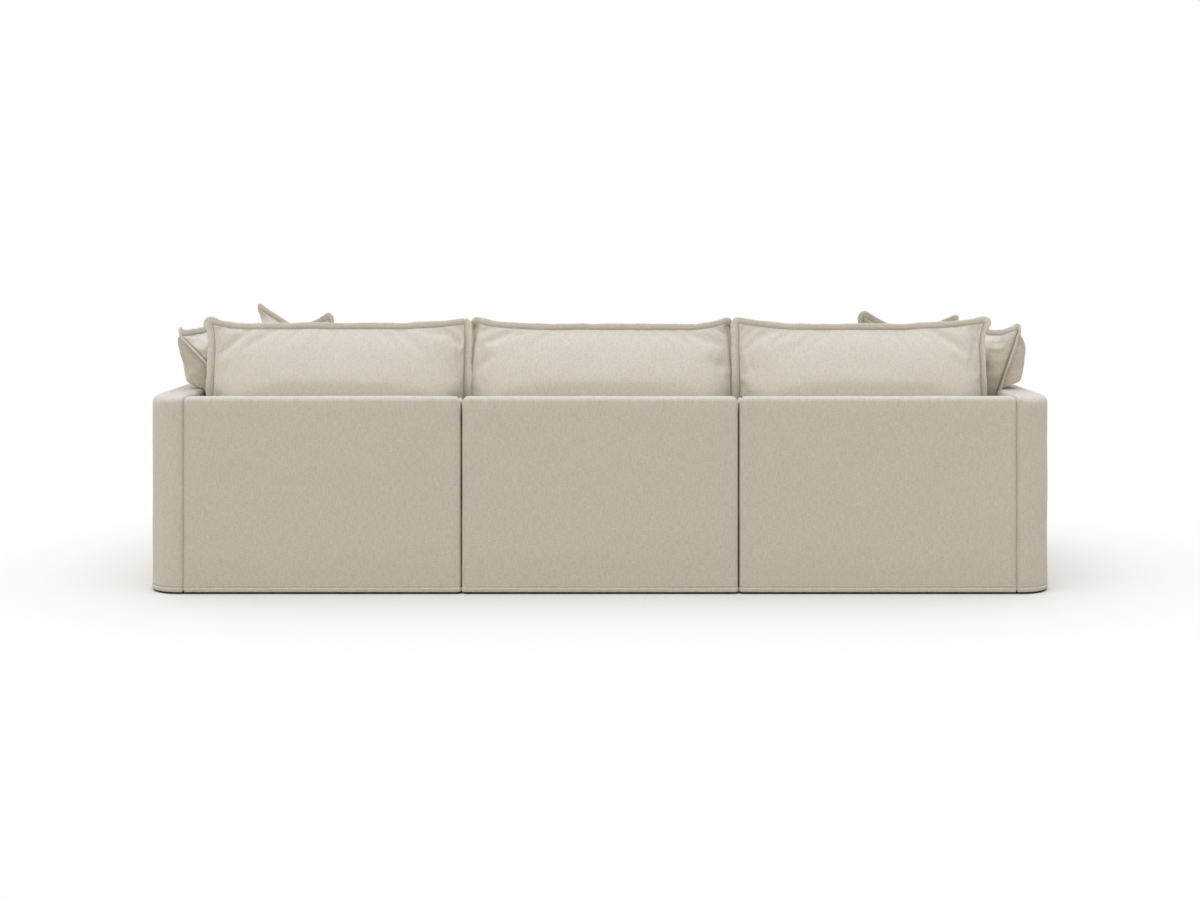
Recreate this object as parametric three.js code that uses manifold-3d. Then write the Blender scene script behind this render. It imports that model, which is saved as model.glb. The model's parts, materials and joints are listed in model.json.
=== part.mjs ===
// A sectional sofa in three modules: an armless centre, a module with the sitter's right arm, and a
// chaise module with the left arm. Millimetres, +Z up. The front faces -Y and the chaise is at +X.
// Each module is a timber frame with foam, webbing, a deck pad and a fitted slipcover. The end
// modules drop onto hooks of the centre one. Seat, back and side cushions and two pillows lie loose.
import * as THREE from 'three';
import { mergeVertices } from 'three/addons/utils/BufferGeometryUtils.js';
import Module from 'manifold-3d';

const wasm = await Module();
wasm.setup();

// Driving sizes of the sofa
const seatWidth = 940;
const armThickness = 128;
const backThickness = 130;
const frameHeight = 668;
const sofaDepth = 1020;
const chaiseDepth = 1650;
const deckHeight = 280;
const hemHeight = 7;
const moduleGap = 4;
const armCornerRadius = 110;
const footEndRadius = 80;

// Sizes of the fitted cover and of the clearances that all pieces share
const coverWall = 3;
const edgeRound = 12;
const seamFlat = 2;
const fit = 0.3;
const cutOverrun = 20;

// Sizes of the frames and of what lies in and on them
const footHeight = 38;
const footRadius = 28;
const footTaper = 6;
const footInset = 42;
const dustCoverThickness = 1.5;
const railThickness = 36;
const rearRailThickness = 100;
const bearerThickness = 28;
const bearerPitch = 300;
const deckPadThickness = 44;
const webbingThickness = 3;
const webbingWidth = 70;
const webbingPitch = 175;
const frameEase = 6;
const backFrameThickness = 60;
const rearFoamThickness = 15;
const topFoamThickness = 25;
const foamHemHeight = 60;
const armFrameThickness = 60;
const armOuterFoamThickness = 20;
const armEndFoamThickness = 10;

// Sizes of the drop-in connectors
const connectorPlateWidth = 22;
const connectorThickness = 4;
const connectorDrop = 16;
const hookWidth = 50;
const slotEase = 0.3;
const socketMargin = 20;
const tongueInset = 9;
const notchEase = 6;

// Sizes of the cushions
const seatThickness = 175;
const seatCrown = 14;
const seatEase = 3;
const seatCornerRadius = 40;
const seatSeamRound = 12;
const seatDrawIn = 5;
const coverFilling = 7;
const coreGap = 0.8;
const flangeWidth = 22;
const footFlangeWidth = 8;
const flangeThickness = 6;
const zipSlotWidth = 3;
const zipLength = 420;
const sideZipLength = 330;
const restGap = 0.5;
const backCushionHeight = 461;
const backCushionFrontBulge = 120;
const backCushionRearBulge = 108;
const backCushionBend = 16;
const backCushionPlane = 95;
const backCushionTopDip = 17;
const backCushionSideDip = 8;
const sideCushionLength = 600;
const sideCushionHeight = 442;
const sideCushionFrontBulge = 105;
const sideCushionRearBulge = 78;
const sideCushionBend = 92;
const sideCushionSlant = 150;
const sideCushionPlane = 30;
const sideCushionSetback = 85;
const sideCushionTopDip = 14;
const sideCushionSideDip = 8;
const pillowSize = 500;
const pillowBulge = 68;
const pillowTopDip = 22;
const pillowSideDip = 18;

// Shares and counts that shape the curves
const cornerSteps = 6;
const tightCornerSteps = 2;
const roundSteps = 3;
const footSides = 12;
const edgeShares = [0, 0.17, 0.33, 0.5, 0.67, 0.83];
const crownRingShares = [0.78, 0.55, 0.3];
const coreRingShares = [0.5];
const cushionRingShares = [0.32, 0.62, 0.86];
const backPressShare = 0.82;
const sidePressShare = 0.25;
const coreSideSteps = 3;
const cushionSteps = { along: 7, up: 5 };
const backFrameRows = 2;
const crownPower = 2.2;
const footPower = 6;
const tightCornerShare = 0.5;

// Places that follow from the sizes
const backPlane = chaiseDepth / 2;
const chaiseFront = -backPlane;
const sofaFront = backPlane - sofaDepth;
const backInner = backPlane - backThickness;
const halfSeat = seatWidth / 2;
const seamRadius = edgeRound + seamFlat;
const layer = coverWall + fit;
const frameRear = backPlane - layer - rearFoamThickness - fit;
const frameFront = frameRear - backFrameThickness;
const frameBottom = footHeight + dustCoverThickness + 2 * fit;
const padTop = deckHeight - layer;
const webbingTop = padTop - deckPadThickness - fit;
const frameTop = webbingTop - webbingThickness - fit;
const postTop = frameHeight - layer - topFoamThickness - fit;
const armFrameDepth = layer + armOuterFoamThickness + fit + armFrameThickness;
const seatTop = deckHeight + fit + seatThickness;

// Finishes
const linen = { color: 0xcdc4b5, roughness: 0.95, metalness: 0 };
const timber = { color: 0xc2a173, roughness: 0.7, metalness: 0 };
const foam = { color: 0xe9dfbd, roughness: 0.95, metalness: 0 };
const webbing = { color: 0x3b3632, roughness: 0.85, metalness: 0 };
const lining = { color: 0x1f1e1d, roughness: 0.95, metalness: 0 };
const plastic = { color: 0x171615, roughness: 0.6, metalness: 0 };
const steel = { color: 0x9b9c9e, roughness: 0.4, metalness: 1 };

const sofa = new THREE.Group();

function add(name, geometry, finish, parent = sofa) {
  const mesh = new THREE.Mesh(geometry, new THREE.MeshStandardMaterial(finish));
  mesh.name = name;
  parent.add(mesh);
  return mesh;
}

// Solids are joined and cut as closed meshes with shared vertices
function solidOf(geometry) {
  const bare = geometry.clone();
  bare.deleteAttribute('normal');
  bare.deleteAttribute('uv');
  const merged = mergeVertices(bare);
  const vertProperties = new Float32Array(merged.attributes.position.array);
  const triVerts = new Uint32Array(merged.index.array);
  return new wasm.Manifold(new wasm.Mesh({ numProp: 3, vertProperties, triVerts }));
}

function geometryOf(solid) {
  const { vertProperties, triVerts } = solid.getMesh();
  const geometry = new THREE.BufferGeometry();
  geometry.setAttribute('position', new THREE.BufferAttribute(vertProperties, 3));
  geometry.setIndex(new THREE.BufferAttribute(triVerts, 1));
  return geometry;
}

// A box from its two opposite corners, given in any order
function boxBetween(a, b) {
  const low = new THREE.Vector3(...a).min(new THREE.Vector3(...b));
  const high = new THREE.Vector3(...a).max(new THREE.Vector3(...b));
  const size = high.clone().sub(low);
  const middle = low.add(high).multiplyScalar(0.5);
  return new THREE.BoxGeometry(size.x, size.y, size.z).translate(middle.x, middle.y, middle.z);
}

// The round or sharp corner of a right-angled outline whose sides have moved inwards by inset
function cornerArc(before, corner, after, inset) {
  const dirIn = new THREE.Vector2(corner.x - before.x, corner.y - before.y).normalize();
  const dirOut = new THREE.Vector2(after.x - corner.x, after.y - corner.y).normalize();
  const inward = new THREE.Vector2(-dirIn.y - dirOut.y, dirIn.x + dirOut.x);
  const tip = new THREE.Vector2(corner.x, corner.y).addScaledVector(inward, inset);
  const radius = corner.radius + (dirIn.cross(dirOut) > 0 ? -inset : inset);
  if (corner.radius === 0 || radius <= 0) return [tip];
  const steps = corner.radius > armCornerRadius * tightCornerShare ? cornerSteps : tightCornerSteps;
  const centre = tip.clone().addScaledVector(dirIn, -radius).addScaledVector(dirOut, radius);
  const arc = [];
  for (let step = 0; step <= steps; step += 1) {
    const angle = (step / steps) * (Math.PI / 2);
    const point = centre.clone().addScaledVector(dirIn, radius * Math.sin(angle));
    arc.push(point.addScaledVector(dirOut, -radius * Math.cos(angle)));
  }
  return arc;
}

// A right-angled outline with round corners, moved inwards by inset, each straight side in steps
function outline(corners, inset, sideSteps = 1) {
  const list = corners.map(([x, y, radius]) => ({ x, y, radius }));
  if (THREE.ShapeUtils.area(list) < 0) list.reverse();
  const arcs = list.map((corner, index) => {
    return cornerArc(list.at(index - 1), corner, list[(index + 1) % list.length], inset);
  });
  return arcs.flatMap((arc, index) => {
    const start = arc.at(-1);
    const end = arcs[(index + 1) % arcs.length][0];
    const side = [];
    for (let step = 1; step < sideSteps; step += 1) {
      side.push(start.clone().lerp(end, step / sideSteps));
    }
    return [...arc, ...side];
  });
}

function slab(points, bottom, top) {
  const depth = top - bottom;
  const geometry = new THREE.ExtrudeGeometry(new THREE.Shape(points), { depth, bevelEnabled: false });
  return geometry.translate(0, 0, bottom);
}

// A level plate with windows cut through it
function plate(points, bottom, top, holes = []) {
  const cuts = holes.map((hole) => solidOf(slab(hole, bottom - cutOverrun, top + cutOverrun)));
  const cut = (solid, hole) => solid.subtract(hole);
  return geometryOf(cuts.reduce(cut, solidOf(slab(points, bottom, top))));
}

// An upright block with a rounded top edge. It runs on below its bottom, where it is cut off
function roundedBlock(points, bottom, top, round) {
  const geometry = new THREE.ExtrudeGeometry(new THREE.Shape(points), {
    depth: top - round - bottom,
    bevelThickness: round,
    bevelSize: round,
    bevelOffset: -round,
    bevelSegments: roundSteps,
  });
  return solidOf(geometry.translate(0, 0, bottom));
}

function rectangle(low, high) {
  return [[low[0], low[1]], [high[0], low[1]], [high[0], high[1]], [low[0], high[1]]].map(
    ([x, y]) => new THREE.Vector2(x, y),
  );
}

// Rectangular holes that leave bars of a given width between them, in columns and rows
function windows(low, high, columns, rows, bar) {
  const width = (high[0] - low[0] - bar * (columns - 1)) / columns;
  const height = (high[1] - low[1] - bar * (rows - 1)) / rows;
  const holes = [];
  for (let column = 0; column < columns; column += 1) {
    for (let row = 0; row < rows; row += 1) {
      const left = low[0] + column * (width + bar);
      const foot = low[1] + row * (height + bar);
      holes.push(rectangle([left, foot], [left + width, foot + height]));
    }
  }
  return holes;
}

function countFor(length, pitch) {
  return Math.max(1, Math.round(length / pitch));
}

// The plan of a module. For the centre one, inner and armInner are its two seam sides
function planOf(name, side) {
  const halfGap = moduleGap / 2;
  if (side === 0) {
    const left = -halfSeat + halfGap;
    const right = halfSeat - halfGap;
    const base = [
      [left, sofaFront, seamRadius],
      [right, sofaFront, seamRadius],
      [right, backPlane, seamRadius],
      [left, backPlane, seamRadius],
    ];
    const tall = base.map(([x, y, radius]) => [x, Math.max(y, backInner), radius]);
    return { name, side, base, tall, inner: left, armInner: right, outer: right, front: sofaFront };
  }
  const inner = side * (halfSeat + halfGap);
  const armInner = side * (halfSeat + seatWidth);
  const outer = armInner + side * armThickness;
  const front = side > 0 ? chaiseFront : sofaFront;
  const armCorners = [
    [armInner, sofaFront, 0],
    [outer, sofaFront, armCornerRadius],
    [outer, backPlane, armCornerRadius],
    [inner, backPlane, seamRadius],
  ];
  const chaiseCorners = [
    [inner, front, footEndRadius],
    [armInner, front, footEndRadius],
  ];
  const base = side > 0
    ? [...chaiseCorners, ...armCorners]
    : [[inner, front, seamRadius], ...armCorners.slice(1)];
  const tall = [
    [inner, backInner, seamRadius],
    [armInner, backInner, 0],
    [armInner, sofaFront, seamRadius],
    ...armCorners.slice(1),
  ];
  return { name, side, base, tall, inner, armInner, outer, front };
}

// The outside of the slipcover, or its inside when inset is the wall
function coverBlock(plan, inset) {
  const round = edgeRound - inset;
  const back = roundedBlock(outline(plan.tall, inset), hemHeight, frameHeight - inset, round);
  const deck = roundedBlock(outline(plan.base, inset), hemHeight, deckHeight - inset, round);
  return back.add(deck);
}

// The bracket's way through the hem of the two facing walls
function hemNotch(edge, toward) {
  const half = hookWidth / 2 + notchEase;
  const middle = (sofaFront + backPlane) / 2;
  const top = frameBottom - connectorDrop + notchEase;
  return solidOf(boxBetween(
    [edge - toward * cutOverrun, middle - half, -cutOverrun],
    [edge + toward * (coverWall + seamFlat), middle + half, top],
  ));
}

function slipcover(plan) {
  const reach = chaiseDepth + seatWidth * 2;
  const floor = solidOf(boxBetween([-reach, -reach, -reach], [reach, reach, hemHeight]));
  let cover = coverBlock(plan, 0).subtract(coverBlock(plan, coverWall)).subtract(floor);
  const inward = plan.side === 0 ? 1 : plan.side;
  cover = cover.subtract(hemNotch(plan.inner, inward));
  if (plan.side === 0) cover = cover.subtract(hemNotch(plan.armInner, -inward));
  return geometryOf(cover);
}

// The rails' outer faces: the seam side, the far side, which meets the arm frame, and the front
function frameSides(plan) {
  const clear = coverWall + frameEase;
  const sign = plan.side === 0 ? 1 : plan.side;
  const near = plan.inner + sign * clear;
  const far = plan.side === 0 ? plan.armInner - clear : plan.outer - sign * (armFrameDepth + fit);
  return { sign, near, far, front: plan.front + clear, rear: frameRear };
}

function baseOutline(plan) {
  const { sign, near, far, front, rear } = frameSides(plan);
  const clear = coverWall + frameEase;
  if (plan.side <= 0) {
    return [[near, front, 0], [far, front, 0], [far, rear, 0], [near, rear, 0]];
  }
  const step = plan.armInner - sign * clear;
  return [
    [near, front, footEndRadius - clear],
    [step, front, footEndRadius - clear],
    [step, sofaFront + clear, 0],
    [far, sofaFront + clear, 0],
    [far, rear, 0],
    [near, rear, 0],
  ];
}

// The open fields between the rails, as low and high corners
function baseFields(plan) {
  const { sign, near, far, front, rear } = frameSides(plan);
  const xs = [near + sign * railThickness, far - sign * railThickness];
  const back = rear - rearRailThickness;
  const fields = [];
  if (plan.side > 0) {
    const seatEdge = plan.armInner - coverWall - frameEase - railThickness;
    const joint = sofaFront + railThickness;
    fields.push({ low: [xs[0], joint + bearerThickness], high: [xs[1], back] });
    fields.push({ low: [xs[0], front + railThickness], high: [seatEdge, joint] });
  } else {
    fields.push({ low: [Math.min(...xs), front + railThickness], high: [Math.max(...xs), back] });
  }
  return fields;
}

function baseFrame(plan) {
  const holes = baseFields(plan).flatMap(({ low, high }) => {
    const columns = countFor(high[0] - low[0], bearerPitch);
    const rows = countFor(high[1] - low[1], bearerPitch);
    return windows(low, high, columns, rows, bearerThickness);
  });
  return plate(outline(baseOutline(plan), 0), frameBottom, frameTop, holes);
}

// Webbing straps fused where they cross, tacked on top of the rails
function webbingGrid(plan) {
  const holes = baseFields(plan).flatMap(({ low, high }) => {
    const columns = countFor(high[0] - low[0], webbingPitch);
    const rows = countFor(high[1] - low[1], 2 * webbingPitch);
    return windows(low, high, columns, rows, webbingWidth);
  });
  const points = outline(seatOutline(plan, railThickness / 2), 0);
  return plate(points, frameTop + fit, webbingTop, holes);
}

// The outline of what lies on the frame in front of the back frame
function seatOutline(plan, inset) {
  const corners = baseOutline(plan);
  const rear = frameFront - fit;
  return corners.map(([x, y, radius]) => {
    const centre = (plan.inner + plan.armInner) / 2;
    const movedX = x + Math.sign(centre - x) * inset;
    const movedY = y === frameRear ? rear : y + inset;
    return [movedX, movedY, Math.max(radius - inset, 0)];
  });
}

function deckPad(plan) {
  const points = outline(seatOutline(plan, edgeRound / 2), 0);
  return plate(points, webbingTop + fit, padTop);
}

function dustCover(plan) {
  const inset = connectorPlateWidth + connectorThickness;
  const corners = baseOutline(plan);
  const low = footHeight + fit;
  return plate(outline(corners, inset), low, low + dustCoverThickness);
}

// Posts and rails of the module's back, from the seam side to the arm's foam
function backFrame(plan) {
  const { sign, near } = frameSides(plan);
  const far = plan.side === 0 ? frameSides(plan).far : plan.armInner + sign * coverWall;
  const low = [Math.min(near, far), frameTop + fit];
  const high = [Math.max(near, far), postTop];
  const holeLow = low.map((value) => value + railThickness);
  const holeHigh = high.map((value) => value - railThickness);
  const columns = countFor(holeHigh[0] - holeLow[0], bearerPitch);
  const holes = windows(holeLow, holeHigh, columns, backFrameRows, bearerThickness);
  const panel = plate(rectangle(low, high), 0, backFrameThickness, holes);
  return panel.rotateX(Math.PI / 2).translate(0, frameRear, 0);
}

function backFoam(plan) {
  const sign = plan.side === 0 ? 1 : plan.side;
  const near = plan.inner + sign * layer;
  const far = plan.side === 0 ? plan.armInner - layer : plan.armInner + sign * coverWall;
  const farRadius = plan.side === 0 ? seamRadius - layer : 0;
  const corners = [
    [near, backInner + layer, seamRadius - layer],
    [far, backInner + layer, farRadius],
    [far, backPlane - layer, farRadius],
    [near, backPlane - layer, seamRadius - layer],
  ];
  const block = roundedBlock(
    outline(corners, 0), foamHemHeight, frameHeight - layer, edgeRound - layer);
  const reach = seatWidth * 2;
  const slot = boxBetween([-reach, frameFront - fit, -cutOverrun], [reach, frameRear + fit, postTop + fit]);
  const foot = boxBetween([-reach, backInner - cutOverrun, -cutOverrun], [reach, frameRear, padTop + fit]);
  const hem = boxBetween([-reach, backInner, -cutOverrun], [reach, backPlane, foamHemHeight]);
  return geometryOf(block.subtract(solidOf(slot)).subtract(solidOf(foot)).subtract(solidOf(hem)));
}

// How far the arm frame stands back from the arm's ends, so that foam fills the round corners
function armFrameSetback() {
  const reach = armCornerRadius - layer - fit - armEndFoamThickness;
  const across = armCornerRadius - layer - armOuterFoamThickness - fit;
  return armCornerRadius - Math.sqrt(Math.max(reach * reach - across * across, 0));
}

function armFrameBox(plan, ease) {
  const sign = plan.side;
  const outerFace = plan.outer - sign * (layer + armOuterFoamThickness + fit - ease);
  const innerFace = plan.outer - sign * (armFrameDepth + ease);
  const setback = armFrameSetback() - ease;
  return {
    xs: [Math.min(outerFace, innerFace), Math.max(outerFace, innerFace)],
    ys: [sofaFront + setback, backPlane - setback],
    top: postTop + ease,
  };
}

function armFrame(plan) {
  const { xs, ys, top } = armFrameBox(plan, 0);
  const low = [ys[0], frameBottom];
  const high = [ys[1], top];
  const holeLow = low.map((value) => value + railThickness);
  const holeHigh = high.map((value) => value - railThickness);
  const columns = countFor(holeHigh[0] - holeLow[0], bearerPitch);
  const rows = countFor(holeHigh[1] - holeLow[1], bearerPitch);
  const holes = windows(holeLow, holeHigh, columns, rows, bearerThickness);
  const panel = plate(rectangle(low, high), 0, armFrameThickness, holes);
  const along = new THREE.Matrix4().makeBasis(
    new THREE.Vector3(0, 1, 0), new THREE.Vector3(0, 0, 1), new THREE.Vector3(1, 0, 0));
  return panel.applyMatrix4(along).translate(xs[0], 0, 0);
}

function armFoam(plan) {
  const corners = [
    [plan.armInner, sofaFront, seamRadius],
    [plan.outer, sofaFront, armCornerRadius],
    [plan.outer, backPlane, armCornerRadius],
    [plan.armInner, backPlane, 0],
  ];
  const block = roundedBlock(
    outline(corners, layer), foamHemHeight, frameHeight - layer, edgeRound - layer);
  const { xs, ys, top } = armFrameBox(plan, fit);
  const frame = boxBetween([xs[0], ys[0], -cutOverrun], [xs[1], ys[1], top]);
  const innerFace = plan.outer - plan.side * armFrameDepth;
  const seat = boxBetween(
    [plan.armInner - plan.side * cutOverrun, sofaFront - cutOverrun, -cutOverrun],
    [innerFace, backPlane + cutOverrun, padTop + fit],
  );
  const hem = boxBetween(
    [plan.armInner, sofaFront, -cutOverrun],
    [plan.outer, backPlane, foamHemHeight],
  );
  return geometryOf(block.subtract(solidOf(frame)).subtract(solidOf(seat)).subtract(solidOf(hem)));
}

function foot() {
  const geometry = new THREE.CylinderGeometry(footRadius, footRadius - footTaper, footHeight, footSides);
  return geometry.rotateX(Math.PI / 2).translate(0, 0, footHeight / 2);
}

// Feet stand under the corners of the rails, and the chaise has a fifth under its arm's front
function footPlaces(plan) {
  const { sign, near, far, front, rear } = frameSides(plan);
  const nearX = near + sign * footInset;
  const farX = far - sign * footInset;
  const frontFarX = plan.side > 0 ? plan.armInner - coverWall - frameEase - footInset : farX;
  const places = [[nearX, front + footInset], [frontFarX, front + footInset]];
  places.push([nearX, rear - footInset], [farX, rear - footInset]);
  if (plan.side > 0) places.push([farX, sofaFront + coverWall + frameEase + footInset]);
  return places;
}

// The hook on the centre module drops under the gap and turns up into the end module's socket
function hook(side) {
  const edge = halfSeat - moduleGap / 2 - coverWall - frameEase;
  const socketEdge = halfSeat + moduleGap / 2 + coverWall + frameEase;
  const top = frameBottom - fit;
  const under = top - connectorThickness;
  const low = under - connectorDrop;
  const tongueStart = socketEdge + tongueInset;
  const tongueEnd = tongueStart + connectorThickness;
  const profile = [
    [edge - connectorPlateWidth, under],
    [edge - connectorThickness, under],
    [edge - connectorThickness, low],
    [tongueEnd, low],
    [tongueEnd, top - slotEase],
    [tongueStart, top - slotEase],
    [tongueStart, low + connectorThickness],
    [edge, low + connectorThickness],
    [edge, top],
    [edge - connectorPlateWidth, top],
  ];
  const points = profile.map(([x, z]) => new THREE.Vector2(side * x, z));
  const middle = (sofaFront + backPlane) / 2;
  return plate(points, 0, hookWidth).rotateX(Math.PI / 2).translate(0, middle + hookWidth / 2, 0);
}

function socket(side) {
  const edge = halfSeat + moduleGap / 2 + coverWall + frameEase;
  const middle = (sofaFront + backPlane) / 2;
  const half = hookWidth / 2;
  const slotLow = edge + tongueInset - slotEase;
  const slotHigh = slotLow + connectorThickness + 2 * slotEase;
  const xs = [side * edge, side * (edge + connectorPlateWidth)];
  const slot = [side * slotLow, side * slotHigh];
  const outer = rectangle(
    [Math.min(...xs), middle - half - socketMargin], [Math.max(...xs), middle + half + socketMargin]);
  const hole = rectangle(
    [Math.min(...slot), middle - half - slotEase], [Math.max(...slot), middle + half + slotEase]);
  const top = frameBottom - fit;
  return plate(outer, top - connectorThickness, top, [hole]);
}

// A closed skin over rings of equally many points, from one end point to the other
function skin(startPoint, rings, endPoint) {
  const count = rings[0].length;
  const points = [startPoint, ...rings.flat(), endPoint];
  const faces = [];
  const last = points.length - 1;
  const lastRing = 1 + (rings.length - 1) * count;
  for (let index = 0; index < count; index += 1) {
    const next = (index + 1) % count;
    faces.push(0, 1 + next, 1 + index, last, lastRing + index, lastRing + next);
    for (let ring = 1; ring < rings.length; ring += 1) {
      const low = 1 + (ring - 1) * count;
      const high = low + count;
      faces.push(low + index, low + next, high + next, low + index, high + next, high + index);
    }
  }
  const geometry = new THREE.BufferGeometry().setFromPoints(points);
  return geometry.setIndex(faces);
}

// Height of a seat's crown, which is convex all over, so that cushions stand on it without a hollow
function crownAt(x, y, seat) {
  const middle = (seat.front + seat.rear) / 2;
  const across = 1 - ((x - seat.centre) / seat.half) ** 2;
  const along = 1 - ((y - middle) / (seat.rear - middle)) ** 2;
  return seatCrown * Math.sqrt(Math.max(across, 0) * Math.max(along, 0));
}

// A boxed seat cushion as rings from its underside to its crown, grown inwards by inset
function seatSolid(seat, inset, sideSteps, crownShares) {
  const low = deckHeight + fit + inset;
  const high = seatTop - inset;
  const lift = (point, z, crowned) => {
    return new THREE.Vector3(point.x, point.y, z + (crowned ? crownAt(point.x, point.y, seat) : 0));
  };
  const ringAt = (depth, z, crowned = false) => {
    return outline(seat.corners, inset + depth, sideSteps).map((point) => lift(point, z, crowned));
  };
  const middle = new THREE.Vector2(seat.centre, (seat.front + seat.rear) / 2);
  const topEdge = outline(seat.corners, inset + seatSeamRound, sideSteps);
  const crownRings = crownShares.map((share) => {
    return topEdge.map((point) => lift(middle.clone().lerp(point, share), high, true));
  });
  const rings = [
    ringAt(seatSeamRound, low),
    ringAt(0, low + seatSeamRound),
    ringAt(seatDrawIn, (low + high) / 2),
    ringAt(0, high - seatSeamRound),
    ringAt(seatSeamRound, high, true),
    ...crownRings,
  ];
  return solidOf(skin(lift(middle, low), rings, lift(middle, high, true)));
}

function seatPlan(plan) {
  const sign = plan.side === 0 ? 1 : plan.side;
  const edge = plan.side === 0 ? -halfSeat : sign * halfSeat;
  const xs = [edge + sign * seatEase, edge + sign * (seatWidth - seatEase)];
  const front = plan.front + seatEase;
  const rear = backInner - seatEase;
  const nose = plan.side > 0 ? footEndRadius - seatEase : seatCornerRadius;
  const corners = [
    [xs[0], front, nose],
    [xs[1], front, nose],
    [xs[1], rear, seatCornerRadius],
    [xs[0], rear, seatCornerRadius],
  ];
  return { corners, front, rear, centre: (xs[0] + xs[1]) / 2, half: seatWidth / 2 };
}

function addSeatCushion(plan) {
  const seat = seatPlan(plan);
  const sideSteps = countFor(seat.rear - seat.front, seatThickness);
  const body = seatSolid(seat, 0, sideSteps, crownRingShares);
  const cavity = seatSolid(seat, coverFilling, coreSideSteps, coreRingShares);
  const core = seatSolid(seat, coverFilling + coreGap, coreSideSteps, coreRingShares);
  const half = zipSlotWidth / 2;
  const level = (deckHeight + seatTop) / 2;
  const zip = boxBetween(
    [seat.centre - zipLength / 2, seat.rear - coverFilling - seatDrawIn - cutOverrun, level - half],
    [seat.centre + zipLength / 2, seat.rear + cutOverrun, level + half],
  );
  const slot = solidOf(zip).subtract(core);
  const cover = add(`${plan.name}_seat_cover`, geometryOf(body.subtract(cavity).subtract(slot)), linen);
  add(`${plan.name}_seat_core`, geometryOf(core), foam);
  return cover;
}

// Points round a rectangle of the given half sizes, whose sides are drawn in between the corners
function cushionLoop(halfWidth, low, high, dip) {
  const corners = [[-1, -1], [1, -1], [1, 1], [-1, 1]];
  const middle = (low + high) / 2;
  const halfHeight = (high - low) / 2;
  return corners.flatMap(([u, v], index) => {
    const [nextU, nextV] = corners[(index + 1) % corners.length];
    const level = v === nextV;
    const count = level ? cushionSteps.along : cushionSteps.up;
    const points = [];
    for (let step = 0; step < count; step += 1) {
      const share = step / count;
      const pull = 4 * share * (1 - share);
      const su = u + (nextU - u) * share;
      const sv = v + (nextV - v) * share;
      const drop = level && v > 0 ? dip.top : 0;
      const tuck = level ? 0 : dip.side;
      const x = su * halfWidth - Math.sign(u) * tuck * pull;
      points.push(new THREE.Vector2(x, middle + sv * halfHeight - drop * pull));
    }
    return points;
  });
}

// How full the cushion is at a point of its face, from 1 in the middle to 0 at the seams
function fullness(point, halfWidth, low, high) {
  const middle = (low + high) / 2;
  const u = Math.min(Math.abs(point.x) / halfWidth, 1);
  const v = Math.min(Math.abs(point.y - middle) / ((high - low) / 2), 1);
  const across = 1 - u ** crownPower;
  const up = 1 - v ** (point.y < middle ? footPower : crownPower);
  return Math.sqrt(Math.max(across, 0) * Math.max(up, 0));
}

// Bends and leans a cushion's points, as its support makes it. Local +Y is towards the support
function settle(point, form) {
  const { halfWidth, halfHeight } = form;
  const over = THREE.MathUtils.smoothstep(point.z, form.supportTop, form.supportTop + halfHeight / 3);
  const pressed = form.pressShare + (1 - form.pressShare) * over;
  const rise = Math.max(point.z - form.supportTop, 0) / (halfHeight - form.supportTop);
  const y = (point.y > 0 ? point.y * pressed : point.y) + form.bend * rise;
  const low = (halfHeight - point.z) / (2 * halfHeight);
  const atSlant = (point.x * form.slantSide / halfWidth + 1) / 2;
  return new THREE.Vector3(point.x - form.slantSide * form.slant * low * atSlant, y, point.z);
}

// The filled body of a flanged cushion, standing on its lower edge with its face towards -Y
function cushionBody(form, inset, withFlange) {
  const { halfWidth, halfHeight, dip } = form;
  const bodyWidth = halfWidth - flangeWidth - inset;
  const low = -halfHeight + footFlangeWidth + inset;
  const high = halfHeight - flangeWidth - inset;
  const edge = withFlange ? flangeThickness / 2 : 0;
  const loop = cushionLoop(bodyWidth, low, high, dip);
  const middle = new THREE.Vector2(0, (low + high) / 2);
  const place = (point, y) => settle(new THREE.Vector3(point.x, y, point.y), form);
  const ringAt = (share, bulge, side) => loop.map((edgePoint) => {
    const point = middle.clone().lerp(edgePoint, share);
    const full = share < 1 ? fullness(point, bodyWidth, low, high) : 0;
    return place(point, side * (edge + full * bulge));
  });
  const rear = form.rearBulge - inset;
  const front = form.frontBulge - inset;
  const rearRings = cushionRingShares.map((share) => ringAt(share, rear, 1));
  const frontRings = cushionRingShares.map((share) => ringAt(share, front, -1)).reverse();
  const rim = cushionLoop(halfWidth, -halfHeight, halfHeight, dip);
  const rimAt = (side) => rim.map((point) => place(point, side * edge));
  const seam = withFlange
    ? [ringAt(1, rear, 1), rimAt(1), rimAt(-1), ringAt(1, front, -1)]
    : [ringAt(1, rear, 1)];
  const rings = [...rearRings, ...seam, ...frontRings];
  const start = place(middle, edge + rear);
  const end = place(middle, -edge - front);
  return solidOf(skin(start, rings, end));
}

function cushionCover(form) {
  const body = cushionBody(form, 0, true);
  if (!form.filled) return geometryOf(body);
  const cavity = cushionBody(form, coverFilling, false);
  const half = zipSlotWidth / 2;
  const centre = -form.slantSide * form.slant / 2;
  const zip = boxBetween(
    [centre - form.zip / 2, -half, -form.halfHeight - cutOverrun],
    [centre + form.zip / 2, half, -form.halfHeight + footFlangeWidth + coverFilling + zipSlotWidth],
  );
  return geometryOf(body.subtract(cavity).subtract(solidOf(zip)));
}

function cushionCore(form) {
  return cushionBody(form, coverFilling + coreGap, false);
}

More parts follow.
